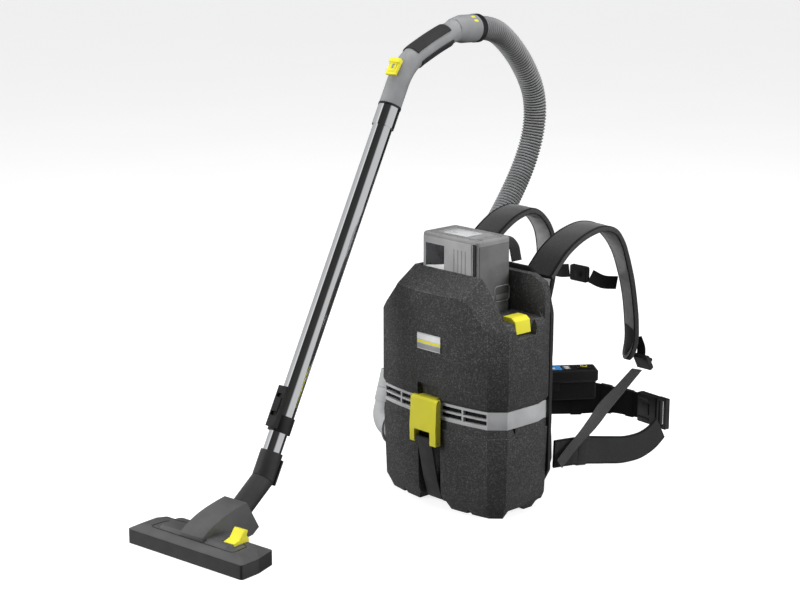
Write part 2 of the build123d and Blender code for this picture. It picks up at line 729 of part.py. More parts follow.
with BuildPart() as pedal:
    with BuildSketch(side_plane(69 - 12)):
        Polygon((-4, 27), (-4, 38), (10, 41), (22, 56), (30, 53), (27, 44), (32, 38), (31, 27), align=None)
    extrude(amount=24)
    fillet(pedal.edges().filter_by(Axis(origin=WAND_AT, direction=ACROSS)), 0.8)
save(pedal.part, "nozzle_pedal")

with BuildPart() as brush:
    with Locations(BASE.location):
        with Locations((0, -26, 4.6)):
            Box(210, 6, 8)
save(brush.part, "brush_strip")

WHEEL_R = 9.0
WHEEL_AT = (27.0, WHEEL_R + 0.4)
with BuildPart() as wheels:
    for side in (-1, 1):
        with BuildSketch(side_plane(side * 100 - 8)):
            with Locations(WHEEL_AT):
                Circle(WHEEL_R)
                Circle(2.05, mode=Mode.SUBTRACT)
        extrude(amount=16)
save(wheels.part, "nozzle_wheels")

with BuildPart() as axles:
    for side in (-1, 1):
        with BuildSketch(side_plane(side * 100 - 10.9)):
            with Locations(WHEEL_AT):
                Circle(2)
        extrude(amount=21.8)
save(axles.part, "wheel_axles")

# ---------------------------------------------------------------- harness
PLATE_Y, PAD_Y, PAD_BACK = REAR + 0.6, REAR + 8, 96.0


def back_outline(inset, y):
    """Outline of the back plate from the front: narrower at the bottom, shouldered at the top."""
    with BuildSketch(Plane.XZ.offset(-y)) as outline:
        Polygon(
            (-132 + inset, 34 + inset), (132 - inset, 34 + inset), (152 - inset, 70), (152 - inset, 355),
            (138 - inset, 408), (98 - inset, 434 - inset), (-98 + inset, 434 - inset), (-138 + inset, 408),
            (-152 + inset, 355), (-152 + inset, 70), align=None,
        )
        fillet(outline.vertices(), 12)
    return outline.sketch


with BuildPart() as plate:
    extrude(back_outline(0, PLATE_Y), amount=-(PAD_Y - PLATE_Y))
save(plate.part, "back_plate")
with BuildPart() as pad:
    loft([back_outline(2, PAD_Y + GAP), back_outline(10, PAD_BACK)], ruled=True)
save(pad.part, "back_pad")

# each place of a shoulder strap: Y, Z, how far its width turns about Z in degrees, and its width
RIGHT_STRAP = [
    (103, 410, 0, 66), (147, 450, 0, 66), (200, 474, 0, 66), (250, 479, -5, 66),
    (284, 468, -13, 66), (307, 446, -20, 66), (325, 418, -26, 64), (342, 378, -28, 62),
    (356, 329, -30, 60), (364, 280, -30, 58), (365, 238, -30, 50), (354, 206, -30, 34),
]
LEFT_STRAP = [
    (103, 413, 0, 66), (150, 458, 0, 66), (200, 484, 0, 66), (240, 489, -4, 66),
    (274, 472, -12, 64), (299, 442, -15, 62), (309, 405, -15, 60), (309, 360, -15, 60),
    (300, 318, -15, 58), (288, 278, -15, 54), (276, 234, -15, 48), (262, 192, -15, 34),
]


def shoulder_strap(x, places):
    """A shoulder strap at one side, turned towards the wearer's chest on its way down."""
    return strip([((x, y, z), (cos(radians(turn)), sin(radians(turn)), 0), width)
                  for y, z, turn, width in places], STRAP_T)


save(shoulder_strap(STRAP_X, RIGHT_STRAP), "strap_right")
save(shoulder_strap(-STRAP_X, LEFT_STRAP), "strap_left")

RIGHT_ADJUST, LEFT_ADJUST = Vector(110, 372, 204), Vector(-85, 283, 184)
# the lower webbing leaves the adjusters flat, turns on its edge and lies outside the belt
RIGHT_WEB = [
    ((110, 354, 192), (1, 0, 0)),
    ((118, 297, 167), (1, 0, -0.2)),
    ((128, 240, 145), (0.8, 0.2, -0.5)),
    ((141, 195, 128), (0.4, 0.3, -0.8)),
    ((148, 155, 111), (0, 0.5, -0.8)),
    ((148.5, 120, 89), (0, 0.6, -0.7)),
    ((148, 98, 72), (0, 0.8, -0.4)),
]
LEFT_WEB = [
    ((-85, 265, 172), (1, 0, 0)),
    ((-103, 240, 163), (0.9, 0, 0.3)),
    ((-122, 215, 152), (0.7, -0.3, 0.6)),
    ((-139, 190, 136), (0.1, -0.45, 0.9)),
    ((-141, 150, 112), (0, -0.45, 0.9)),
    ((-142, 110, 94), (0, -0.45, 0.9)),
]
with BuildPart() as webbing:
    for places in (RIGHT_WEB, LEFT_WEB):
        add(strip([(at, across, WEB_W) for at, across in places], WEB_T))
save(webbing.part, "lower_webbing")
with BuildPart() as adjusters:
    for place in (RIGHT_ADJUST, LEFT_ADJUST):
        with Locations(Location(place, (30, 0, 0))):
            Box(34, 10, 30)
save(adjusters.part, "strap_adjusters")

STERNUM_Z = 376.0
with BuildPart() as sternum_straps:
    add(strip([((-56, 296, 368), (0, 0, 1), WEB_W), ((-28, 288, 371), (0, 0, 1), WEB_W),
               ((-4, 284, STERNUM_Z), (0, 0, 1), WEB_W)], WEB_T))
    add(strip([((44, 291, STERNUM_Z - 4), (0, 0, 1), WEB_W), ((52, 312, 360), (0, 0, 1), WEB_W),
               ((58, 350, 352), (0, 0, 1), WEB_W)], WEB_T))
save(sternum_straps.part, "sternum_straps")
with BuildPart() as sternum:
    with Locations((20, 287, STERNUM_Z - 2)):
        Box(42, 9, 30)
    fillet(sternum.edges().filter_by(Axis.Y), 4)
save(sternum.part, "sternum_buckle")

with BuildPart() as loop:
    with BuildSketch(Plane.XZ.offset(-78)):
        with BuildLine():
            FilletPolyline((-54, 435), (-44, 472), (44, 472), (54, 435), radius=22)
        trace(line_width=3)
    extrude(amount=WEB_W / 2, both=True)
save(loop.part, "grab_handle")

UP = (0, 0, 1)
BELT_RIGHT = [
    (133, 99, 87), (138, 125, 86), (142, 170, 81), (144, 228, 69),
    (144, 290, 57), (144, 335, 57), (144, 364, 65), (144, 386, 78),
]
BELT_LEFT = [
    (-136, 99, 108), (-132, 180, 107), (-99, 290, 104), (-41, 368, 102), (10, 402, 101), (71, 411, 101),
]
save(strip([(at, UP, BELT_W) for at in BELT_RIGHT], BELT_T), "belt_right")
save(strip([(at, UP, WING_W if at[0] < 0 else BELT_W) for at in BELT_LEFT], BELT_T), "belt_left")

BUCKLE = Plane(origin=(110, 407, 101), x_dir=(cos(radians(-6)), sin(radians(-6)), 0), z_dir=UP)
with BuildPart() as buckle:
    with Locations(BUCKLE.location):
        with Locations((-12, 0, 0)):
            Box(50, 14, 58)
        with Locations((4, 0, 0)):
            Box(28, 8, 48, mode=Mode.SUBTRACT)
save(buckle.part, "buckle_socket")
with BuildPart() as tongue:
    with Locations(BUCKLE.location):
        with Locations((4, 0, 0)):
            Box(26, 7, 46)
        # the frame that the belt is looped through
        with Locations((26, 0, 0)):
            Box(24, 12, 60)
            Box(11, 20, 50, mode=Mode.SUBTRACT)
save(tongue.part, "buckle_tongue")

BOX = Plane(origin=(-60, 340, 151.5), x_dir=Vector(58, 78, 0).normalized(), z_dir=(0, 0, 1))
with BuildPart() as control:
    with Locations(BOX.location):
        Box(126, 46, 23)
    fillet(control.edges(), 4)
    with Locations(BOX.location):
        with Locations((38, 0, 8)):
            Box(28, 24, 10, mode=Mode.SUBTRACT)
        with Locations((-26, 0, 11)):
            Box(40, 28, 3, mode=Mode.SUBTRACT)
save(control.part, "control_box")
with BuildPart() as power:
    with Locations(BOX.location):
        with Locations((38, 0, 9.5)):
            Box(27, 23, 9)
    fillet(power.edges().group_by(Axis.Z)[-1], 1)
save(power.part, "power_button")
with BuildPart() as display:
    with Locations(BOX.location):
        with Locations((-26, 0, 10.4)):
            Box(39, 27, 1.6)
save(display.part, "display")
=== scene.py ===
"""Looks of the backpack vacuum cleaner: foam shells, padded harness, ribbed hose, chrome wand, nozzle."""

import json
import math

import bmesh
import bpy
import numpy as np
from mathutils import Matrix, Vector
from mathutils.bvhtree import BVHTree


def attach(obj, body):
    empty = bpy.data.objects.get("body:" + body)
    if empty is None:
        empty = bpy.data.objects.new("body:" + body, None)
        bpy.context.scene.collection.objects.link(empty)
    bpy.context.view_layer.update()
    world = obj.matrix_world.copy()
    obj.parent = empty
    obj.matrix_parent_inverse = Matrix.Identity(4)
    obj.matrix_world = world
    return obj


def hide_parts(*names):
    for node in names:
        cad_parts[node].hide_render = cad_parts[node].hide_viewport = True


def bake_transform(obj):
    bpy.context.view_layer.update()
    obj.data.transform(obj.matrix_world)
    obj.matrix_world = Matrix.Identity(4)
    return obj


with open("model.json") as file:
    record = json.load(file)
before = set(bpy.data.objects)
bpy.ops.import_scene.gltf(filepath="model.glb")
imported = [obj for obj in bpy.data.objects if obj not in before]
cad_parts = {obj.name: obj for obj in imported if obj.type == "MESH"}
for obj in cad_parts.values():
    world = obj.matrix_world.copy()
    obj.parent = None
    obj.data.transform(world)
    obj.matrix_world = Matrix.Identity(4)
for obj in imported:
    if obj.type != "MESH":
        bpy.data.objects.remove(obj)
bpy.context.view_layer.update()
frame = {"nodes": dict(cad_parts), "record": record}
NODES = frame["nodes"]
MM = 0.001

BODY_OF = {node: body for body, group in frame["record"]["behaviour"]["bodies"].items() for node in group}
FLAT = math.radians(0.6)  # faces closer than this to one plane are merged before an edge is rounded
SHARP = math.radians(30)  # edges sharper than this are rounded
WELD = 0.005 * MM


def link(name, mesh, material=None, smooth=40):
    """A new object of that mesh, shaded smooth except at edges sharper than smooth degrees."""
    piece = bpy.data.objects.new(name, mesh)
    bpy.context.scene.collection.objects.link(piece)
    if material:
        mesh.materials.append(material)
    if smooth:
        for polygon in mesh.polygons:
            polygon.use_smooth = True
        mesh.set_sharp_from_angle(angle=math.radians(smooth))
    return piece


def from_bmesh(name, bm, material=None, smooth=40):
    """Turns a bmesh into a linked object with outward faces."""
    bmesh.ops.recalc_face_normals(bm, faces=bm.faces)
    mesh = bpy.data.meshes.new(name)
    bm.to_mesh(mesh)
    bm.free()
    return link(name, mesh, material, smooth)


def solid(node):
    """A CAD node's mesh to work on."""
    bm = bmesh.new()
    bm.from_mesh(NODES[node].data)
    return bm


def bevel(bm, edges, width, segments, **more):
    """Rounds edges of a bmesh."""
    bmesh.ops.bevel(bm, geom=edges, offset=width, segments=segments, profile=0.5, affect="EDGES",
                    clamp_overlap=True, **more)


def soften(node, material, width, edge=None):
    """A copy of a CAD node with its sharp edges rounded by so many millimetres, standing for that node. An
    edge material, when given, goes on the rounded faces as a painted highlight.
    """
    bm = solid(node)
    bmesh.ops.remove_doubles(bm, verts=bm.verts, dist=WELD)
    bmesh.ops.dissolve_limit(bm, angle_limit=FLAT, verts=bm.verts, edges=bm.edges)
    sharp = [e for e in bm.edges if len(e.link_faces) == 2 and e.calc_face_angle(0) > SHARP]
    bevel(bm, sharp, width * MM, 3, material=1 if edge else -1)
    bmesh.ops.triangulate(bm, faces=[f for f in bm.faces if len(f.verts) > 4])
    piece = from_bmesh(node + "_skin", bm, material, 32)
    if edge:
        piece.data.materials.append(edge)
    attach(piece, BODY_OF[node])
    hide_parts(node)


def smooth_line(rows, count, span=(0.0, 1.0)):
    """Evenly spaced rows on a smooth line through the given rows, whose first three numbers are a point."""
    rows = np.array(rows, float)
    gap = np.r_[0, np.cumsum(np.linalg.norm(np.diff(rows[:, :3], axis=0), axis=1))]
    slope = np.gradient(rows, gap, axis=0)
    t = np.linspace(gap[-1] * span[0], gap[-1] * span[1], count)
    k = np.clip(np.searchsorted(gap, t, "right") - 1, 0, len(gap) - 2)
    h = (gap[k + 1] - gap[k])[:, None]
    s = (t - gap[k])[:, None] / h
    return ((2 * s**3 - 3 * s**2 + 1) * rows[k] + (s**3 - 2 * s**2 + s) * h * slope[k]
            + (3 * s**2 - 2 * s**3) * rows[k + 1] + (s**3 - s**2) * h * slope[k + 1])


def strip(name, places, profile, materials, count, span=(0.0, 1.0), relief=None, widen=0.0, taper=0.0):
    """A band along places, each (x, y, z, direction across, width) in millimetres.

    The profile is a closed loop of (side, inset, height, material): side of the width from -1 to 1, the
    distance in from that side, and the height over the middle plane. relief(t, side, height) adds to that
    height, widen adds to the width, and taper rounds the band's last millimetres.
    """
    rows = smooth_line(places, count, span)
    at, across, width = rows[:, :3], rows[:, 3:6], rows[:, 6] + widen
    along = np.gradient(at, axis=0)
    along /= np.linalg.norm(along, axis=1)[:, None]
    across = across - along * (across * along).sum(1)[:, None]
    across /= np.linalg.norm(across, axis=1)[:, None]
    outward = np.cross(across, along)
    run = np.r_[0, np.cumsum(np.linalg.norm(np.diff(at, axis=0), axis=1))]
    if taper:
        left = np.clip((run[-1] - run) / taper, 0, 1)
        width = width * np.sqrt(1 - (1 - left) ** 2 * 0.96)
    verts = []
    for i in range(count):
        for side, inset, height, _ in profile:
            x = side * width[i] / 2 - math.copysign(inset, side)
            extra = relief(run[i], side, height) if relief else 0.0
            verts.append(at[i] + across[i] * x + outward[i] * (height + extra))
    n = len(profile)
    faces, which = [], []
    for i in range(count - 1):
        for j in range(n):
            k = (j + 1) % n
            faces.append((i * n + j, i * n + k, (i + 1) * n + k, (i + 1) * n + j))
            which.append(profile[j][3])
    for start in (0, (count - 1) * n):
        faces.append(tuple(range(start, start + n)))
        which.append(profile[0][3])
    mesh = bpy.data.meshes.new(name)
    mesh.from_pydata([Vector(v) * MM for v in verts], [], faces)
    for material in materials:
        mesh.materials.append(material)
    mesh.polygons.foreach_set("material_index", which)
    bm = bmesh.new()
    bm.from_mesh(mesh)
    bmesh.ops.recalc_face_normals(bm, faces=bm.faces)
    bm.to_mesh(mesh)
    bm.free()
    return link(name, mesh, smooth=45)


def flat_profile(thick):
    """A webbing's cross-section with rolled edges."""
    h, inset, flat = thick / 2, 0.24, (-0.8, -0.4, 0.0, 0.4, 0.8)
    rolled = h * 0.7
    return ([(-1, 0, 0, 0), (-1, inset, rolled, 0)] + [(side, 0, h, 0) for side in flat]
            + [(1, inset, rolled, 0), (1, 0, 0, 0), (1, inset, -rolled, 0)]
            + [(side, 0, -h, 0) for side in reversed(flat)] + [(-1, inset, -rolled, 0)])


def basis(origin, x_dir, z_dir):
    """The placing matrix of a small part, from millimetres and two directions."""
    x = Vector(x_dir).normalized()
    z = Vector(z_dir)
    z = (z - x * z.dot(x)).normalized()
    m = Matrix((x, z.cross(x), z)).transposed().to_4x4()
    m.translation = Vector(origin) * MM
    return m


UPRIGHT = basis((0, 0, 0), (1, 0, 0), (0, 0, 1))


def block(name, body, centre, size, material, frame_at, round_by, segments=3):
    """A box with rounded edges, in millimetres about a placing matrix."""
    bm = bmesh.new()
    bmesh.ops.create_cube(bm, size=1.0)
    for v in bm.verts:
        v.co = Vector(a * b for a, b in zip(v.co, size))
    bevel(bm, bm.edges[:], round_by, segments)
    local = Matrix.Translation(Vector(centre))
    bmesh.ops.transform(bm, matrix=frame_at @ Matrix.Scale(MM, 4) @ local, verts=bm.verts)
    piece = from_bmesh(name, bm, material)
    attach(piece, body)


def outline_block(name, body, points, low, high, material, frame_at, round_by):
    """A plate whose outline is given by points, from low to high along the placing matrix's Z."""
    bm = bmesh.new()
    ring = [bm.verts.new((x, y, low)) for x, y in points]
    face = bm.faces.new(ring)
    top = bmesh.ops.extrude_face_region(bm, geom=[face])["geom"]
    for v in top:
        if isinstance(v, bmesh.types.BMVert):
            v.co.z = high
    bmesh.ops.recalc_face_normals(bm, faces=bm.faces)
    bevel(bm, [e for e in bm.edges if e.calc_face_angle(0) > SHARP], round_by, 2)
    bmesh.ops.transform(bm, matrix=frame_at @ Matrix.Scale(MM, 4), verts=bm.verts)
    piece = from_bmesh(name, bm, material)
    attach(piece, body)


def tube(name, body, points, radius, material, closed=False, sides=8):
    """A round tube through points in millimetres."""
    pts = [Vector(p) for p in points]
    n = len(pts)
    verts, faces = [], []
    side = None
    for i, p in enumerate(pts):
        if closed:
            ahead = pts[(i + 1) % n] - pts[i - 1]
        else:
            ahead = pts[min(i + 1, n - 1)] - pts[max(i - 1, 0)]
        ahead.normalize()
        if side is None:
            side = ahead.orthogonal().normalized()
        side = (side - ahead * side.dot(ahead)).normalized()
        other = ahead.cross(side)
        for k in range(sides):
            a = 2 * math.pi * k / sides
            verts.append((p + (side * math.cos(a) + other * math.sin(a)) * radius) * MM)
    for i in range(n if closed else n - 1):
        for k in range(sides):
            a, b = i * sides, ((i + 1) % n) * sides
            faces.append((a + k, a + (k + 1) % sides, b + (k + 1) % sides, b + k))
    if not closed:
        faces += [tuple(range(sides)), tuple(range((n - 1) * sides, n * sides))]
    mesh = bpy.data.meshes.new(name)
    mesh.from_pydata(verts, [], faces)
    bm = bmesh.new()
    bm.from_mesh(mesh)
    bpy.data.meshes.remove(mesh)
    piece = from_bmesh(name, bm, material)
    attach(piece, body)


def arc(centre, radius, start, end, plane, count):
    """Points of an arc in the plane of two directions, in millimetres and degrees."""
    u, v, c = Vector(plane[0]), Vector(plane[1]), Vector(centre)
    return [c + (u * math.cos(a) + v * math.sin(a)) * radius
            for a in (math.radians(start + (end - start) * i / (count - 1)) for i in range(count))]


def paint(node, material):
    """Gives a CAD node that stays as it is its finish."""
    mesh = NODES[node].data
    mesh.materials.clear()
    mesh.materials.append(material)


# ---------------------------------------------------------------- materials
class Nodes:
    """A material's node tree, with one short call for each node that is used."""

    def __init__(self, name, color, roughness, metallic=0.0):
        self.material = bpy.data.materials.new(name)
        self.material.use_nodes = True
        self.tree = self.material.node_tree
        self.shader = self.tree.nodes["Principled BSDF"]
        self.shader.inputs["Base Color"].default_value = (*color, 1)
        self.shader.inputs["Roughness"].default_value = roughness
        self.shader.inputs["Metallic"].default_value = metallic
        self.place = self.tree.nodes.new("ShaderNodeTexCoord").outputs["Object"]

    def new(self, kind, **settings):
        node = self.tree.nodes.new(kind)
        for key, value in settings.items():
            setattr(node, key, value)
        return node

    def join(self, out, into):
        self.tree.links.new(out, into)

    def noise(self, scale, detail=2.0, place=None):
        node = self.new("ShaderNodeTexNoise")
        node.inputs["Scale"].default_value = scale
        node.inputs["Detail"].default_value = detail
        self.join(place or self.place, node.inputs["Vector"])
        return node.outputs["Fac"]

    def cells(self, scale, output="Color", feature="F1"):
        node = self.new("ShaderNodeTexVoronoi", feature=feature)
        node.inputs["Scale"].default_value = scale
        self.join(self.place, node.inputs["Vector"])
        return node.outputs[output]

    def waves(self, scale, direction, distortion=0.0):
        node = self.new("ShaderNodeTexWave", bands_direction=direction)
        node.inputs["Scale"].default_value = scale
        node.inputs["Distortion"].default_value = distortion
        self.join(self.place, node.inputs["Vector"])
        return node.outputs["Fac"]

    def ramp(self, fac, *stops):
        node = self.new("ShaderNodeValToRGB")
        elements = node.color_ramp.elements
        while len(elements) < len(stops):
            elements.new(0.5)
        for element, (at, color) in zip(elements, stops):
            element.position = at
            element.color = (*color, 1) if hasattr(color, "__len__") else (color, color, color, 1)
        self.join(fac, node.inputs["Fac"])
        return node.outputs["Color"]

    def math(self, operation, a, b):
        node = self.new("ShaderNodeMath", operation=operation)
        for socket, value in zip(node.inputs, (a, b)):
            if hasattr(value, "is_output"):
                self.join(value, socket)
            else:
                socket.default_value = value
        return node.outputs[0]

    def mix(self, fac, a, b, blend="MIX"):
        node = self.new("ShaderNodeMix", data_type="RGBA", blend_type=blend)
        for socket, value in zip((node.inputs[0], node.inputs[6], node.inputs[7]), (fac, a, b)):
            if hasattr(value, "is_output"):
                self.join(value, socket)
            elif hasattr(value, "__len__"):
                socket.default_value = (*value, 1)
            else:
                socket.default_value = value
        return node.outputs[2]

    def bump(self, height, strength, distance):
        node = self.new("ShaderNodeBump")
        node.inputs["Strength"].default_value = strength
        node.inputs["Distance"].default_value = distance * MM
        self.join(height, node.inputs["Height"])
        previous = self.shader.inputs["Normal"]
        if previous.links:
            self.join(previous.links[0].from_socket, node.inputs["Normal"])
        self.join(node.outputs["Normal"], previous)

    def color(self, out):
        self.join(out, self.shader.inputs["Base Color"])

    def rough(self, out):
        self.join(out, self.shader.inputs["Roughness"])


def tone(color, factor):
    """A colour made lighter or darker."""
    return tuple(min(1.0, c * factor) for c in color)


def foam(name="bead_foam", highlight_lift=1.0):
    """Moulded bead foam: small welded beads in greys, with pale flecks and shallow seams between beads. A
    lift above 1 lightens it, for the painted highlight on rounded edges.
    """
    m = Nodes(name, (0.05, 0.05, 0.05), 0.8)
    beads = m.cells(560, "Color")
    grey = m.new("ShaderNodeSeparateColor")
    m.join(beads, grey.inputs[0])
    base = m.ramp(grey.outputs[0], (0.0, 0.038 * highlight_lift), (0.55, 0.052 * highlight_lift), (0.85, 0.075 * highlight_lift),
                  (1.0, 0.12 * highlight_lift))
    patch = m.ramp(m.noise(7, 3), (0.3, 0.86), (0.7, 1.12))
    m.color(m.mix(1.0, base, patch, "MULTIPLY"))
    seams = m.cells(560, "Distance", "DISTANCE_TO_EDGE")
    m.bump(m.ramp(seams, (0.0, 0.0), (0.12, 1.0)), 0.4, 0.25)
    m.rough(m.ramp(grey.outputs[1], (0.0, 0.6), (1.0, 0.85)))
    m.shader.inputs["Specular IOR Level"].default_value = 0.35
    return m.material


def plastic(name, color, roughness=0.45, grain=900, depth=0.05, variation=0.12):
    """Moulded plastic with a fine eroded grain, slight tone changes and uneven gloss."""
    m = Nodes(name, color, roughness)
    shade = m.noise(26, 4)
    m.color(m.ramp(shade, (0.3, tone(color, 1 - variation)), (0.7, tone(color, 1 + variation))))
    m.bump(m.noise(grain, 2), 0.35, depth)
    m.rough(m.ramp(m.noise(60, 3), (0.3, max(0.05, roughness - 0.06)), (0.75, min(1, roughness + 0.08))))
    return m.material


def cloth(name, color, weave=1100, sheen=0.25, depth=0.12, roughness=0.9):
    """Woven fabric: crossing threads, mottled dye and soft folds."""
    m = Nodes(name, color, roughness)
    across = m.waves(weave / 6.28, "X")
    along = m.waves(weave / 6.28, "DIAGONAL")
    threads = m.math("MULTIPLY", across, along)
    m.bump(threads, 0.6, depth)
    mottle = m.ramp(m.noise(240, 4), (0.3, tone(color, 0.78)), (0.7, tone(color, 1.25)))
    m.color(m.mix(1.0, mottle, m.ramp(threads, (0.0, 0.75), (0.7, 1.15)), "MULTIPLY"))
    m.bump(m.noise(55, 3), 0.35, 0.5)
    m.shader.inputs["Sheen Weight"].default_value = sheen
    m.shader.inputs["Sheen Roughness"].default_value = 0.5
    return m.material


def ribbed_web(name, color, pitch=1.6):
    """Webbing: tight ribs across the strip and a coarse thread."""
    m = Nodes(name, color, 0.8)
    ribs = m.waves(1000 / pitch / 6.28, "DIAGONAL", 0.4)
    m.bump(ribs, 0.7, 0.25)
    m.color(m.mix(1.0, m.ramp(m.noise(500, 3), (0.3, tone(color, 0.7)), (0.7, tone(color, 1.35))),
                  m.ramp(ribs, (0.0, 0.7), (0.6, 1.1)), "MULTIPLY"))
    m.shader.inputs["Sheen Weight"].default_value = 0.2
    return m.material


def chrome():
    """Polished plated steel with faint drawing lines and finger haze."""
    m = Nodes("chrome_tube", (0.82, 0.83, 0.85), 0.07, 1.0)
    m.rough(m.ramp(m.noise(35, 4), (0.35, 0.05), (0.8, 0.14)))
    m.bump(m.noise(420, 2), 0.04, 0.02)
    return m.material


def turned_steel():
    """Turned steel with an uneven gloss."""
    m = Nodes("turned_steel", (0.55, 0.56, 0.58), 0.3, 1.0)
    m.rough(m.ramp(m.noise(180, 4), (0.3, 0.22), (0.8, 0.45)))
    m.bump(m.noise(700, 2), 0.1, 0.03)
    return m.material


def satin():
    """Strap lining: smooth light grey cloth with a silky sheen."""
    m = Nodes("strap_lining", (0.3, 0.3, 0.3), 0.4)
    m.color(m.ramp(m.noise(70, 3), (0.3, (0.25, 0.25, 0.252)), (0.7, (0.34, 0.34, 0.34))))
    m.bump(m.waves(300, "DIAGONAL"), 0.25, 0.06)
    m.shader.inputs["Sheen Weight"].default_value = 0.5
    m.shader.inputs["Sheen Roughness"].default_value = 0.35
    return m.material


FOAM = foam()
# a lighter copy of the foam for the rounded edges: painted highlight along the creases
FOAM_PAINTED_HIGHLIGHT = foam("bead_foam_painted_highlight", 1.9)
BAND_GREY = plastic("band_grey", (0.46, 0.465, 0.47), 0.42)
YELLOW = plastic("yellow_plastic", (0.82, 0.76, 0.05), 0.35, variation=0.04)
BLACK = plastic("black_plastic", (0.012, 0.012, 0.013), 0.42)
DARK = plastic("dark_plastic", (0.030, 0.030, 0.031), 0.42)
NOZZLE = plastic("nozzle_plastic", (0.085, 0.085, 0.087), 0.4)
GREY = plastic("handle_grey", (0.27, 0.275, 0.28), 0.45)
RUBBER = plastic("soft_rubber", (0.03, 0.03, 0.031), 0.62, grain=500, depth=0.1)
HOSE = plastic("hose_plastic", (0.26, 0.263, 0.266), 0.36)
BATTERY = plastic("battery_case", (0.26, 0.26, 0.262), 0.3)
CHROME = chrome()
STEEL = turned_steel()
CLOTH = cloth("strap_cloth", (0.032, 0.032, 0.033))
PAD_CLOTH = cloth("pad_mesh_cloth", (0.010, 0.010, 0.011), weave=800, sheen=0.1)
BELT_CLOTH = cloth("belt_cloth", (0.022, 0.022, 0.023), weave=900)
WEB = ribbed_web("black_webbing", (0.012, 0.012, 0.013))
GREY_WEB = ribbed_web("grey_webbing", (0.05, 0.05, 0.051), 1.2)
LINING = satin()
BATTERY_PANEL = plastic("battery_panel_grey", (0.35, 0.35, 0.353), 0.33)
BLACK_GLOSS = plastic("gloss_black", (0.008, 0.008, 0.009), 0.16)
SIDE_GLOSS = plastic("battery_side_gloss", (0.15, 0.15, 0.152), 0.2)
LABEL_DARK = plastic("label_dark", (0.03, 0.031, 0.033), 0.3)
TOP_GREY = plastic("plate_grey", (0.30, 0.305, 0.31), 0.32)
PIPING = cloth("black_piping", (0.008, 0.008, 0.009), weave=1500, sheen=0.1, depth=0.05)
SIDE_BAND = cloth("strap_side_band", (0.055, 0.055, 0.056), weave=1300, depth=0.08)
# near-black plastic for the hose's grooves: painted shade down in them
HOSE_GROOVE_SHADE = plastic("hose_groove_painted_shade", (0.045, 0.046, 0.047), 0.55)
FLEECE = cloth("filter_fleece", (0.72, 0.7, 0.66), 500, 0.3)
BOARD = plastic("board_green", (0.02, 0.14, 0.06), 0.35)
SILVER = plastic("label_silver", (0.62, 0.63, 0.64), 0.3)
WHITE = plastic("white_print", (0.8, 0.8, 0.8), 0.4)
SCREEN = plastic("blue_screen", (0.08, 0.36, 0.85), 0.12, depth=0.0)

# ---------------------------------------------------------------- camera, light and stage
scene = bpy.context.scene
CAMERA_AT = Vector((2.324, -2.341, 1.170))
CAMERA_LOOK = Vector((-0.708, 0.6653, -0.2368))
camera = bpy.data.objects.new("camera", bpy.data.cameras.new("camera"))
scene.collection.objects.link(camera)
camera.location = CAMERA_AT
camera.rotation_euler = CAMERA_LOOK.to_track_quat("-Z", "Y").to_euler()
camera.data.lens = 85.5
camera.data.sensor_width = 36
scene.camera = camera


def area_light(name, at, look, size, power):
    """A soft panel that lights the object but isn't seen in its reflections."""
    light = bpy.data.lights.new(name, "AREA")
    light.shape, light.size, light.size_y, light.energy = "RECTANGLE", *size, power
    lamp = bpy.data.objects.new(name, light)
    scene.collection.objects.link(lamp)
    lamp.location = at
    lamp.visible_glossy = False
    lamp.rotation_euler = (Vector(look) - Vector(at)).to_track_quat("-Z", "Y").to_euler()


scene.view_settings.view_transform = "Standard"
area_light("key", (-1.5, -3.1, 1.5), (0, 0, 0.3), (1.8, 1.8), 118)
area_light("side", (2.9, 1.5, 1.5), (0, 0.1, 0.3), (1.4, 1.8), 95)
area_light("top", (0.1, 0.4, 3.2), (0, 0, 0), (2.6, 2.6), 70)

# a white background for the camera, dim light all round, and dark bands between panels in reflections
PANELS = [(0.0, 0.5), (0.12, 0.6), (0.16, 1.0), (0.185, 0.03), (0.43, 0.045), (0.47, 0.6), (0.66, 0.62),
          (0.69, 0.015), (0.91, 0.015), (0.94, 0.5)]  # share of the way round from -X, and brightness
AMBIENT = (0.13, 0.13, 0.132, 1)
world = bpy.data.worlds.new("studio")
scene.world = world
world.use_nodes = True
tree = world.node_tree
backdrop = tree.nodes["Background"]
backdrop.inputs["Strength"].default_value = 1.0
rays = tree.nodes.new("ShaderNodeLightPath")
facing = tree.nodes.new("ShaderNodeSeparateXYZ")
tree.links.new(tree.nodes.new("ShaderNodeTexCoord").outputs["Generated"], facing.inputs[0])
bearing = tree.nodes.new("ShaderNodeMath")
bearing.operation = "ARCTAN2"
tree.links.new(facing.outputs["Y"], bearing.inputs[0])
tree.links.new(facing.outputs["X"], bearing.inputs[1])
share = tree.nodes.new("ShaderNodeMath")
share.operation = "MULTIPLY_ADD"
share.inputs[1].default_value = 1 / (2 * math.pi)
share.inputs[2].default_value = 0.5
tree.links.new(bearing.outputs[0], share.inputs[0])
panels = tree.nodes.new("ShaderNodeValToRGB")
while len(panels.color_ramp.elements) < len(PANELS):
    panels.color_ramp.elements.new(0.5)
for element, (at, grey) in zip(panels.color_ramp.elements, PANELS):
    element.position, element.color = at, (grey, grey, grey, 1)
tree.links.new(share.outputs[0], panels.inputs[0])
previous = None
for ray, value in (("Is Glossy Ray", panels.outputs["Color"]), ("Is Camera Ray", (1, 1, 1, 1))):
    level = tree.nodes.new("ShaderNodeMix")
    level.data_type = "RGBA"
    tree.links.new(rays.outputs[ray], level.inputs[0])
    if previous:
        tree.links.new(previous, level.inputs[6])
    else:
        level.inputs[6].default_value = AMBIENT
    if hasattr(value, "is_output"):
        tree.links.new(value, level.inputs[7])
    else:
        level.inputs[7].default_value = value
    previous = level.outputs[2]
tree.links.new(previous, backdrop.inputs["Color"])

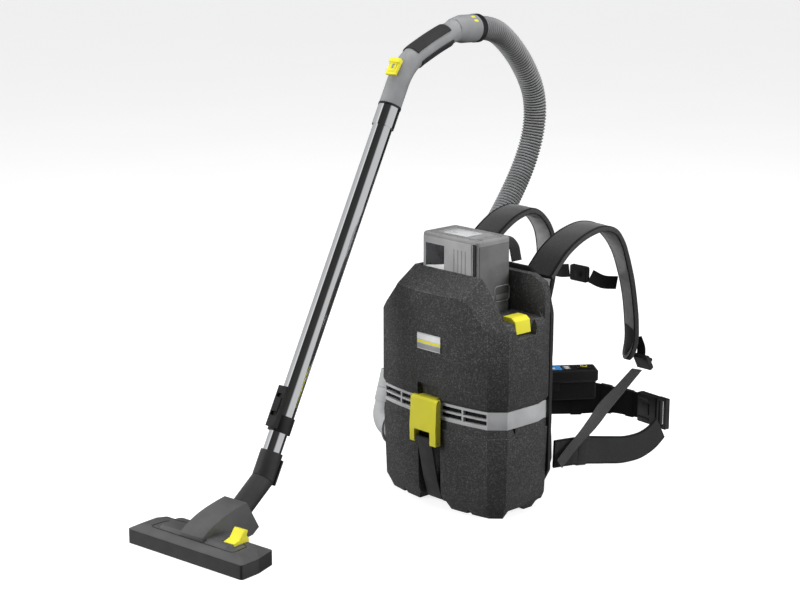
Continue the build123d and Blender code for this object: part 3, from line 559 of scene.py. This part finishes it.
FLOOR_HALF = 30
floor_mesh = bpy.data.meshes.new("floor")
floor_mesh.from_pydata([(x * FLOOR_HALF, y * FLOOR_HALF, 0) for x, y in ((-1, -1), (1, -1), (1, 1), (-1, 1))],
                       [], [(0, 1, 2, 3)])
floor = link("floor", floor_mesh, smooth=0)
paper = Nodes("paper_floor", (0.5, 0.5, 0.5), 0.9)
paper.color(paper.ramp(paper.noise(2, 2), (0.3, 0.48), (0.7, 0.52)))
paper.shader.inputs["Emission Color"].default_value = (1, 1, 1, 1)
paper.shader.inputs["Emission Strength"].default_value = 0.78
floor_mesh.materials.append(paper.material)
floor.visible_diffuse = False
floor.visible_glossy = False

# ---------------------------------------------------------------- CAD pieces with rounded edges
soften("container_shell", FOAM, 2.2, edge=FOAM_PAINTED_HIGHLIGHT)
soften("head_shell", FOAM, 2.2, edge=FOAM_PAINTED_HIGHLIGHT)
for node, material, width in [
    ("exhaust_band", BAND_GREY, 0.5), ("latch", YELLOW, 1.6), ("release_key", YELLOW, 1.5),
    ("battery", BATTERY, 0.8), ("battery_clip", BATTERY, 0.8), ("back_plate", BLACK, 1.5),
    ("nozzle_base", DARK, 0.8), ("nozzle_cover", NOZZLE, 1.6), ("nozzle_hood", NOZZLE, 1.6),
    ("nozzle_pedal", YELLOW, 0.8), ("neck_socket", DARK, 0.6), ("neck_elbow", DARK, 0.6),
    ("inlet_elbow", BAND_GREY, 0.6), ("elbow_collar", DARK, 0.6), ("inlet_port", BAND_GREY, 0.6),
    ("hose_lower_cuff", BAND_GREY, 0.8), ("handle_shell", GREY, 0.8), ("grip_top", RUBBER, 0.6),
    ("grip_bottom", RUBBER, 0.6), ("swivel_ring", BLACK, 0.6), ("lock_housing", BLACK, 0.8),
    ("lock_button", BLACK, 0.6), ("air_slider", YELLOW, 0.8), ("buckle_socket", BLACK, 1.5),
    ("buckle_tongue", BLACK, 1.0), ("control_box", BLACK, 1.2), ("power_button", BLACK, 0.8),
    ("sternum_buckle", BLACK, 1.0), ("strap_adjusters", BLACK, 1.5), ("closing_strap", RUBBER, 0.6),
]:
    soften(node, material, width)
for node, material in {
    "upper_tube": CHROME, "lower_tube": CHROME, "tube_ring": BLACK, "display": SCREEN, "badge": SILVER,
    "exhaust_filter": PAD_CLOTH, "rim_seal": RUBBER, "motor_mount": RUBBER, "motor": STEEL,
    "circuit_board": BOARD, "battery_dock": BLACK, "inlet_seal": RUBBER, "strap_pin": STEEL,
    "tilt_pins": STEEL, "wheel_axles": STEEL, "nozzle_wheels": DARK, "brush_strip": PAD_CLOTH,
    "hose_upper_cuff": GREY,
}.items():
    paint(node, material)

# ---------------------------------------------------------------- shoulder straps
def turned(x, rows):
    """Places of a shoulder strap from Y, Z, the turn of its width about Z, and its width."""
    return [(x, y, z, math.cos(math.radians(turn)), math.sin(math.radians(turn)), 0, width)
            for y, z, turn, width in rows]


RIGHT_STRAP = turned(85, [
    (103, 410, 0, 66), (147, 450, 0, 66), (200, 474, 0, 66), (250, 479, -5, 66),
    (284, 468, -13, 66), (307, 446, -20, 66), (325, 418, -26, 64), (342, 378, -28, 62),
    (356, 329, -30, 60), (364, 280, -30, 58), (365, 238, -30, 50), (354, 206, -30, 34),
])
LEFT_STRAP = turned(-85, [
    (103, 413, 0, 66), (150, 458, 0, 66), (200, 484, 0, 66), (240, 489, -4, 66),
    (274, 472, -12, 64), (299, 442, -15, 62), (309, 405, -15, 60), (309, 360, -15, 60),
    (300, 318, -15, 58), (288, 278, -15, 54), (276, 234, -15, 48), (262, 192, -15, 34),
])
# outer cloth 0, piping 1, side band 2, satin lining 3
OUTER = [(1, 2.6, 4.6, 1), (1, 3.2, 5.6, 1), (1, 4.4, 5.6, 1), (1, 5.0, 4.4, 0),
         (0.55, 0, 5.2, 0), (0.0, 0, 5.5, 0), (-0.55, 0, 5.2, 0),
         (-1, 5.0, 4.4, 1), (-1, 4.4, 5.6, 1), (-1, 3.2, 5.6, 1), (-1, 2.6, 4.6, 1)]
NEAR_EDGE = [(-1, 1.4, 4.6, 1), (-1, 0.4, 3.8, 2), (-1, -0.2, 1.5, 2), (-1, -0.2, -1.5, 2),
             (-1, 0.4, -3.8, 1), (-1, 1.2, -5.2, 1), (-1, 2.6, -5.4, 1), (-1, 3.6, -4.4, 3)]
INNER = [(-0.72, 0, -4.9, 3), (-0.48, 0, -5.2, 3), (-0.24, 0, -5.4, 3), (0.0, 0, -5.5, 3),
         (0.24, 0, -5.4, 3), (0.48, 0, -5.2, 3), (0.72, 0, -4.9, 3)]
FAR_EDGE = [(1, 3.6, -4.4, 1), (1, 2.6, -5.4, 1), (1, 1.2, -5.2, 1), (1, 0.4, -3.8, 2), (1, -0.2, -1.5, 2),
            (1, -0.2, 1.5, 2), (1, 0.4, 3.8, 1), (1, 1.4, 4.6, 1)]
STRAP_PROFILE = OUTER + NEAR_EDGE + INNER + FAR_EDGE
TAB_PROFILE = [(-1, 6, -5.2, 0), (-0.5, 0, -7.0, 0), (0, 0, -7.6, 0), (0.5, 0, -7.0, 0), (1, 6, -5.2, 0),
               (1, 7, -4.6, 0), (0, 0, -5.0, 0), (-1, 7, -4.6, 0)]


def folds(size, pitch, slant):
    """Relief of the strap's lining: slanted folds, and a slight puckering of the outer cloth."""
    def relief(t, side, height):
        if height < -4.6 and abs(side) < 0.9:
            wave = math.sin(2 * math.pi * (t + side * slant) / pitch) + 0.4 * math.sin(t / 7.1 + side * 2.3)
            return -size * wave * (1 - side * side)
        if height > 4.9 and abs(side) < 0.9:
            return 0.25 * math.sin(t / 9.0) * math.sin(t / 23.0 + side)
        return 0.0
    return relief


for name, places, relief in (("strap_right_padded", RIGHT_STRAP, folds(0.35, 17, 6)),
                             ("strap_left_padded", LEFT_STRAP, folds(1.3, 21, 16))):
    pad = strip(name, places, STRAP_PROFILE, (CLOTH, PIPING, SIDE_BAND, LINING), 150, relief=relief, taper=16)
    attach(pad, "head")
    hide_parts(name.removesuffix("_padded"))
    # the sewn tab at the lower end, on the lining's side
    tab = strip(name + "_tab", places, TAB_PROFILE, (SIDE_BAND,), 30, span=(0.865, 0.985), taper=24)
    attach(tab, "head")

# ---------------------------------------------------------------- hip belt
SLEEVE_LIFT = 0.9 * MM


def level(points, width):
    """Places of a band that stands upright, all of one width."""
    return [(*p, 0, 0, 1, width) for p in points]


BELT_RIGHT = level([(133, 99, 87), (138, 125, 86), (142, 170, 81), (144, 228, 69), (144, 290, 57),
                    (144, 335, 57), (144, 364, 65), (144, 386, 78)], 52)
BELT_LEFT = (level([(-136, 99, 108), (-132, 180, 107), (-99, 290, 104)], 70) + level([(-41, 368, 102)], 68)
             + level([(10, 402, 101)], 54) + level([(71, 411, 101)], 50))
BELT_PROFILE = [(-1, 0, 1.2, 1), (-1, 1.5, 2.9, 1), (-1, 3.2, 2.9, 0), (-0.5, 0, 2.9, 0), (0, 0, 3.1, 0),
                (0.5, 0, 2.9, 0), (1, 3.2, 2.9, 1), (1, 1.5, 2.9, 1), (1, 0, 1.2, 1), (1, 0, -1.2, 1),
                (1, 1.5, -2.9, 1), (1, 3.2, -2.7, 0), (0.5, 0, -2.8, 0), (0, 0, -2.9, 0), (-0.5, 0, -2.8, 0),
                (-1, 3.2, -2.7, 1), (-1, 1.5, -2.9, 1), (-1, 0, -1.2, 1)]


def sag(t, side, height):
    """Relief of a belt: it leans a little this way and that along its length."""
    return 0.5 * math.sin(t / 31.0) * side


right_belt = strip("belt_right_cloth", BELT_RIGHT, BELT_PROFILE, (BELT_CLOTH, PIPING), 90, relief=sag)
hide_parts("belt_right")
left_belt = strip("belt_left_cloth", BELT_LEFT, BELT_PROFILE, (PAD_CLOTH, PIPING), 90, relief=sag)
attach(left_belt, "head")
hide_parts("belt_left")
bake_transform(right_belt)
for name, places, spans, cloth_used in (
        ("belt_right_keeper", BELT_RIGHT, ((0.19, 0.27),), BELT_CLOTH),
        ("belt_left_sleeve", BELT_LEFT, ((0.66, 0.71), (0.80, 0.85), (0.93, 0.97)), PAD_CLOTH)):
    for i, span in enumerate(spans):
        sleeve = strip(f"{name}_{i}", places, BELT_PROFILE, (cloth_used, cloth_used), 10, span, widen=2.0)
        for v in sleeve.data.vertices:
            v.co += v.normal * SLEEVE_LIFT
        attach(sleeve, "head")

# ---------------------------------------------------------------- webbing
RIGHT_WEB = [(110, 354, 192, 1, 0, 0, 23), (118, 297, 167, 1, 0, -0.2, 23),
             (128, 240, 145, 0.8, 0.2, -0.5, 23), (141, 195, 128, 0.4, 0.3, -0.8, 23),
             (148, 155, 111, 0, 0.5, -0.8, 23), (148.5, 120, 89, 0, 0.6, -0.7, 23),
             (148, 98, 72, 0, 0.8, -0.4, 23)]
LEFT_WEB = [(-85, 265, 172, 1, 0, 0, 25), (-103, 240, 163, 0.9, 0, 0.3, 25),
            (-122, 215, 152, 0.7, -0.3, 0.6, 25), (-139, 190, 136, 0.1, -0.45, 0.9, 25),
            (-141, 150, 112, 0, -0.45, 0.9, 25), (-142, 110, 94, 0, -0.45, 0.9, 25)]
WEBBING = flat_profile(1.8)
for name, places in (("right", RIGHT_WEB), ("left", LEFT_WEB)):
    band = strip("lower_webbing_" + name, places, WEBBING, (GREY_WEB,), 90)
    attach(band, "head")
    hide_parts("lower_webbing")
for name, places in (("a", [(-56, 296, 368), (-28, 288, 371), (-4, 284, 376)]),
                     ("b", [(44, 291, 372), (52, 312, 360), (58, 350, 352)])):
    band = strip("sternum_strap_" + name, level(places, 25), WEBBING, (WEB,), 30)
    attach(band, "head")
    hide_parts("sternum_straps")
grab = strip("grab_handle_web", [(x, 78, z, 0, 1, 0, 25) for x, z in (
    (-54, 435), (-51, 446), (-46, 461), (-36, 470), (0, 472), (36, 470), (46, 461), (51, 446), (54, 435))],
    flat_profile(2.8), (WEB,), 60)
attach(grab, "head")
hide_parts("grab_handle")

# ---------------------------------------------------------------- back pad and filter bag
PRESSURE = 4.0
SIM_FRAMES = 20
ROOM = 0.5 * MM  # how far a swollen piece may pass its CAD node


def applied(piece):
    """The piece's mesh with its modifiers applied, which are then taken off."""
    mesh = bpy.data.meshes.new_from_object(piece.evaluated_get(bpy.context.evaluated_depsgraph_get()))
    piece.modifiers.clear()
    return mesh


def puff(node, name, material, voxel, shrink, cap):
    """A padded copy of a CAD node, shrunk, then swollen by a cloth simulation, which is applied.

    The voxel of its new mesh, the shrink of each half and the cap on the swelling are in millimetres.
    """
    source = NODES[node].data.copy()
    piece = bpy.data.objects.new(name, source)
    scene.collection.objects.link(piece)
    co = np.array([v.co[:] for v in source.vertices])
    middle = (co.max(0) + co.min(0)) / 2
    half = (co.max(0) - co.min(0)) / 2
    factor = (half - np.array(shrink) * MM) / half
    source.vertices.foreach_set("co", ((co - middle) * factor + middle).ravel())
    remesh = piece.modifiers.new("remesh", "REMESH")
    remesh.mode, remesh.voxel_size = "VOXEL", voxel * MM
    start = applied(piece)
    piece.data = start
    rest = np.array([v.co[:] for v in start.vertices])
    cloth_sim = piece.modifiers.new("cloth", "CLOTH")
    cloth_sim.settings.use_pressure = True
    cloth_sim.settings.uniform_pressure_force = PRESSURE
    cloth_sim.settings.effector_weights.gravity = 0
    for frame_number in range(1, SIM_FRAMES + 1):
        scene.frame_set(frame_number)
    blown = applied(piece)
    scene.frame_set(1)
    moved = np.array([v.co[:] for v in blown.vertices]) - rest
    size = np.linalg.norm(moved, axis=1)[:, None]
    rest = rest + moved * np.minimum(1, cap * MM / np.maximum(size, 1e-9))
    start.vertices.foreach_set("co", np.clip(rest, co.min(0) - ROOM, co.max(0) + ROOM).ravel())
    subdivide = piece.modifiers.new("smooth", "SUBSURF")
    subdivide.levels = 1
    final = applied(piece)
    piece.data = final
    final.materials.clear()
    final.materials.append(material)
    final.polygons.foreach_set("use_smooth", [True] * len(final.polygons))
    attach(piece, BODY_OF[node])
    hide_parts(node)


puff("back_pad", "back_pad_cushion", PAD_CLOTH, 5, (4, 2.5, 4), 6)
puff("filter_bag", "filter_bag_fleece", FLEECE, 6, (6, 6, 6), 10)

# ---------------------------------------------------------------- suction hose
WAND_YAW = math.radians(7.2)
ACROSS = Vector((math.cos(WAND_YAW), math.sin(WAND_YAW), 0))
ALONG = Vector((-math.sin(WAND_YAW), math.cos(WAND_YAW), 0))
HEEL = Vector((-90, -530, 0))


def wand(a, along, up):
    """A point of the wand's upright plane, in millimetres."""
    return HEEL + ACROSS * a + ALONG * along + Vector((0, 0, up))


def leaning(lean):
    """The direction in the wand's plane that leans by so many degrees from upright."""
    return ALONG * math.sin(math.radians(lean)) + Vector((0, 0, math.cos(math.radians(lean))))


KNEE_AT = wand(0, 151, 93)
WAND_LEAN = 29.4
AXIS = leaning(WAND_LEAN)
CUFF = leaning(92.0)
END_AT = wand(0, 750, 822.5)
RISE = Vector((0, 0.3, 0.954)).normalized()
HOSE_START = Vector((-192, -20, 98)) + RISE * 100
HOSE_POINTS = [HOSE_START, HOSE_START + RISE * 70] + [Vector(p) for p in (
    (-191, 98, 322), (-192, 178, 362), (-196, 262, 412), (-204, 327, 477), (-207, 378, 548), (-206, 402, 618),
    (-203, 396, 682), (-200, 360, 740), (-196, 312, 788))] + [END_AT + CUFF * 45, END_AT]
line = bpy.data.curves.new("hose_line", "CURVE")
line.dimensions, line.resolution_u = "3D", 24
route = line.splines.new("NURBS")
route.points.add(len(HOSE_POINTS) - 1)
for point, at in zip(route.points, HOSE_POINTS):
    point.co = (*(at * MM), 1)
route.order_u = 3
route.use_endpoint_u = True
guide = bpy.data.objects.new("hose_guide", line)
scene.collection.objects.link(guide)
followed = bpy.data.meshes.new_from_object(guide.evaluated_get(bpy.context.evaluated_depsgraph_get()))
centre = np.array([v.co[:] for v in followed.vertices])
bpy.data.objects.remove(guide)
run = np.r_[0, np.cumsum(np.linalg.norm(np.diff(centre, axis=0), axis=1))]
HOSE_LENGTH = float(run[-1])
RIB_PITCH = 6.0
SIDES = 40
RIB = (19.6, 20.2, 21.9, 22.6, 22.4, 20.6)  # radii along one rib, of which the first and last are its groove
STEPS = len(RIB)
ribs = round(HOSE_LENGTH / (RIB_PITCH * MM))
t = np.linspace(0, HOSE_LENGTH, ribs * STEPS + 1)
line_at = np.stack([np.interp(t, run, centre[:, i]) for i in range(3)], axis=1)
ahead = np.gradient(line_at, axis=0)
ahead /= np.linalg.norm(ahead, axis=1)[:, None]
turn = np.linspace(0, 2 * math.pi, SIDES, endpoint=False)
verts = []
side = np.cross(ahead[0], (1.0, 0, 0))
for i, (p, d) in enumerate(zip(line_at, ahead)):
    side = side - d * side.dot(d)
    side /= np.linalg.norm(side)
    other = np.cross(d, side)
    verts.append(p + (np.outer(np.cos(turn), side) + np.outer(np.sin(turn), other)) * RIB[i % STEPS] * MM)
rings = len(t)
faces = [(i * SIDES + k, i * SIDES + (k + 1) % SIDES, (i + 1) * SIDES + (k + 1) % SIDES, (i + 1) * SIDES + k)
         for i in range(rings - 1) for k in range(SIDES)]
hose_mesh = bpy.data.meshes.new("hose_ribbed")
hose_mesh.from_pydata(np.concatenate(verts), [], faces)
hose_mesh.materials.append(HOSE)
# the groove faces take the darker plastic: painted shade in the grooves
hose_mesh.materials.append(HOSE_GROOVE_SHADE)
groove_shade_mask = [int((i // SIDES) % STEPS in (0, STEPS - 1)) for i in range(len(faces))]
hose_mesh.polygons.foreach_set("material_index", groove_shade_mask)
hose = link("hose_ribbed", hose_mesh, smooth=60)
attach(hose, "suction_hose")
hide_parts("hose")

# ---------------------------------------------------------------- battery
def slab(node, name, material, low, high, axis, push):
    """A slice of a CAD node between two places along an axis, moved off it by push, in millimetres."""
    bm = solid(node)
    normal = Vector(axis)
    for at, keep in ((low, -1), (high, 1)):
        bmesh.ops.bisect_plane(bm, geom=bm.verts[:] + bm.edges[:] + bm.faces[:], plane_co=normal * at * MM,
                               plane_no=normal * keep, clear_outer=True)
    bmesh.ops.translate(bm, vec=Vector(push) * MM, verts=bm.verts)
    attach(from_bmesh(name, bm, material), BODY_OF[node])


FRONT = basis((0, -38, 0), (1, 0, 0), (0, -1, 0))
SIDE = basis((69.5, 0, 0), (0, 1, 0), (1, 0, 0))
block("battery_panel", "battery", (-5, 420, 0), (120, 122, 2), BATTERY_PANEL, FRONT, 0.9)
outline_block("battery_label_dark", "battery", [(-58, 428), (-12, 436), (-12, 469), (-58, 469)], 0.6, 1.25,
              LABEL_DARK, FRONT, 0.15)
outline_block("battery_label_white", "battery", [(-58, 412), (-12, 412), (-12, 435.6), (-58, 427.6)], 0.6,
              1.25, WHITE, FRONT, 0.15)
for i in range(4):
    block(f"battery_rib_{i}", "battery", (12 + 9.5 * i, 438, 0.9), (3.2, 58, 1.0), BATTERY, FRONT, 0.45)
block("battery_corner", "battery", (62.2, 418, 0.2), (7, 128, 1.6), BLACK_GLOSS, FRONT, 0.7)
block("battery_side_plate", "battery", (4, 432, 0.1), (74, 92, 0.9), SIDE_GLOSS, SIDE, 0.4)
block("battery_top_plate", "battery", (0, 4, 485.8), (91, 49, 1.8), TOP_GREY, UPRIGHT, 0.6)
block("battery_top_label", "battery", (-9, 4, 487.0), (58, 40, 0.8), SILVER, UPRIGHT, 0.3)
CLIP_Y, CLIP_Z, CLIP_HALF_Y, CLIP_HALF_Z = 24, 387, 12, 7.5  # centres of the rim's four corners
ring = [p for y, z, start in ((1, 1, 0), (-1, 1, 90), (-1, -1, 180), (1, -1, 270))
        for p in arc((69.9, CLIP_Y + y * CLIP_HALF_Y, CLIP_Z + z * CLIP_HALF_Z), 6.5, start, start + 90,
                     ((0, 1, 0), (0, 0, 1)), 7)]
tube("battery_clip_rim", "battery", ring, 1.0, TOP_GREY, closed=True)

# ---------------------------------------------------------------- badge
slab("badge", "badge_yellow", YELLOW, 302.0, 306.5, (0, 0, 1), (0, -0.25, 0))
slab("badge", "badge_white", WHITE, 308.0, 317.5, (0, 0, 1), (0, -0.2, 0))
slab("badge", "badge_grey", TOP_GREY, 291.8, 300.5, (0, 0, 1), (0, -0.2, 0))

# ---------------------------------------------------------------- nozzle and tube details
DROP_FROM = 300


def drape(points, node, above, step=2.0):
    """Points of the wand's frame, every step along a line, dropped from over the node to just above it."""
    surface = BVHTree.FromBMesh(solid(node))
    hits = []
    for (x0, y0), (x1, y1) in zip(points, points[1:]):
        n = max(1, round(math.hypot(x1 - x0, y1 - y0) / step))
        for i in range(n):
            at = wand(x0 + (x1 - x0) * i / n, y0 + (y1 - y0) * i / n, DROP_FROM) * MM
            hit = surface.ray_cast(at, Vector((0, 0, -1)))[0]
            if hit:
                hits.append(hit / MM + Vector((0, 0, above)))
    return hits


def rounded(points, radius, count=6):
    """A polyline whose inner corners are rounded."""
    out = [points[0]]
    for before, at, after in zip(points, points[1:], points[2:]):
        a, p, b = Vector(before), Vector(at), Vector(after)
        u, v = (a - p).normalized(), (b - p).normalized()
        start, end = p + u * radius, p + v * radius
        for i in range(count + 1):
            t = i / count
            out.append(tuple(start * (1 - t) ** 2 + p * 2 * t * (1 - t) + end * t * t))
    return out + [points[-1]]


panel_edge = rounded([(-34, 20), (-96, 14), (-98, -24), (98, -24), (96, 14), (66, 18)], 10)
tube("cover_groove", "nozzle", drape(panel_edge, "nozzle_cover", 0.1), 0.7, BLACK)
LOCK = basis(KNEE_AT + AXIS * 42, ACROSS, AXIS)
block("socket_clip", "inner_tube", (6, 24.5, -24), (9, 5, 46), BLACK, LOCK, 1.8)

# ---------------------------------------------------------------- latch, key and shell details
LATCH_FACE = basis((0, -102.6, 0), (1, 0, 0), (0, -1, 0.045))
outline_block("latch_rib", "latch", [(14, 128), (33, 124), (33, 196), (27, 201), (17, 199)], -1.5, 2.6,
              YELLOW, LATCH_FACE, 1.1)
outline_block("latch_leg_left", "latch", [(-31, 124), (-21, 124), (-20, 150), (-31, 154)], -1.5, 1.0, YELLOW,
              LATCH_FACE, 0.7)
outline_block("key_step", "release_key", [(-18, 335), (18, 335), (18, 355), (-18, 355)], -1.0, 0.9, YELLOW,
              basis((149.8, -5, 0), (0, 1, 0), (1, 0, 0.12)), 0.6)

# ---------------------------------------------------------------- handle
for i, angle in enumerate((-38, -60)):
    out = ACROSS * math.cos(math.radians(angle)) - ACROSS.cross(CUFF) * math.sin(math.radians(angle))
    block(f"cuff_mark_{i}", "wand", (0, 0, 0), (11, 5, 1.6), YELLOW,
          basis(END_AT - CUFF * 30 + out * 25.6, CUFF, out), 0.5)

AIR = basis(KNEE_AT + AXIS * 761, ACROSS, leaning(WAND_LEAN + 8))
block("slider_plate", "air_slider", (0, -27.0, 1), (14, 1.4, 20), YELLOW, AIR, 0.6)
block("slider_mark", "air_slider", (0, -27.7, 1), (5, 0.8, 9), TOP_GREY, AIR, 0.3)

# ---------------------------------------------------------------- control box
BOX = basis((-60, 340, 151.5), (58, 78, 0), (0, 0, 1))
block("control_pocket", "head", (0, -11, -31), (120, 15, 38), PAD_CLOTH, BOX, 6, segments=5)
block("control_pocket_flap", "head", (-34, -19.5, -20), (40, 3, 20), PAD_CLOTH, BOX, 1.4)
block("control_pocket_edge", "head", (0, -18.6, -12.5), (120, 2.2, 2.2), SIDE_BAND, BOX, 0.9)
block("control_icon_field", "head", (4, 0, 11.3), (15, 24, 0.8), SIDE_BAND, BOX, 0.3)
for i in range(3):
    block(f"control_icon_{i}", "head", (4, -7 + 7 * i, 11.8), (9, 3.4, 0.5), WHITE, BOX, 0.2)
block("control_screen_mark", "head", (-24, -1, 11.3), (9, 9, 0.4), WHITE, BOX, 0.15)
BUTTON_X, BUTTON_TOP, SYMBOL_R = 38, 14.0, 6.4
symbol = [BOX @ (p * MM) / MM
          for p in arc((BUTTON_X, 0, BUTTON_TOP), SYMBOL_R, 120, 420, ((1, 0, 0), (0, 1, 0)), 21)]
tube("power_symbol", "power_button", symbol, 0.7, YELLOW)
block("power_symbol_bar", "power_button", (BUTTON_X - 1.5, 5, BUTTON_TOP), (1.4, 6, 1.4), YELLOW, BOX, 0.4)

# ---------------------------------------------------------------- buckles and adjusters
BUCKLE_TURN = math.radians(-6)
BUCKLE = basis((110, 407, 101), (math.cos(BUCKLE_TURN), math.sin(BUCKLE_TURN), 0), (0, 0, 1))
for name, z in (("low", -20), ("high", 20)):
    block("buckle_rib_" + name, "head", (-20, -7.2, z), (30, 2.0, 5), BLACK, BUCKLE, 0.9)
block("buckle_release", "head", (-14, -7.4, 0), (18, 2.6, 22), BLACK, BUCKLE, 1.2)
for i, (x, y, z) in enumerate(((110, 372, 204), (-85, 283, 184))):
    place = basis((x, y, z), (1, 0, 0), (0, -0.5, 0.866))
    block(f"adjuster_bar_{i}", "head", (0, 6.5, 4), (30, 5, 4), BLACK, place, 1.6)
    block(f"adjuster_knob_{i}", "head", (8, 9.5, -2), (10, 9, 8), BLACK, place, 3.5, segments=5)
    tail = strip(f"strap_tail_{i}", [(x - 4, y - 2, z + 8, 1, 0, 0, 20), (x - 8, y + 2, z + 28, 1, 0, 0, 20),
                                     (x - 14, y - 1, z + 46, 1, 0, 0, 20)], flat_profile(1.8), (WEB,), 20)
    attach(tail, "head")
block("sternum_release", "head", (20, 282.4, 374), (16, 1.6, 12), BLACK, UPRIGHT, 0.7)
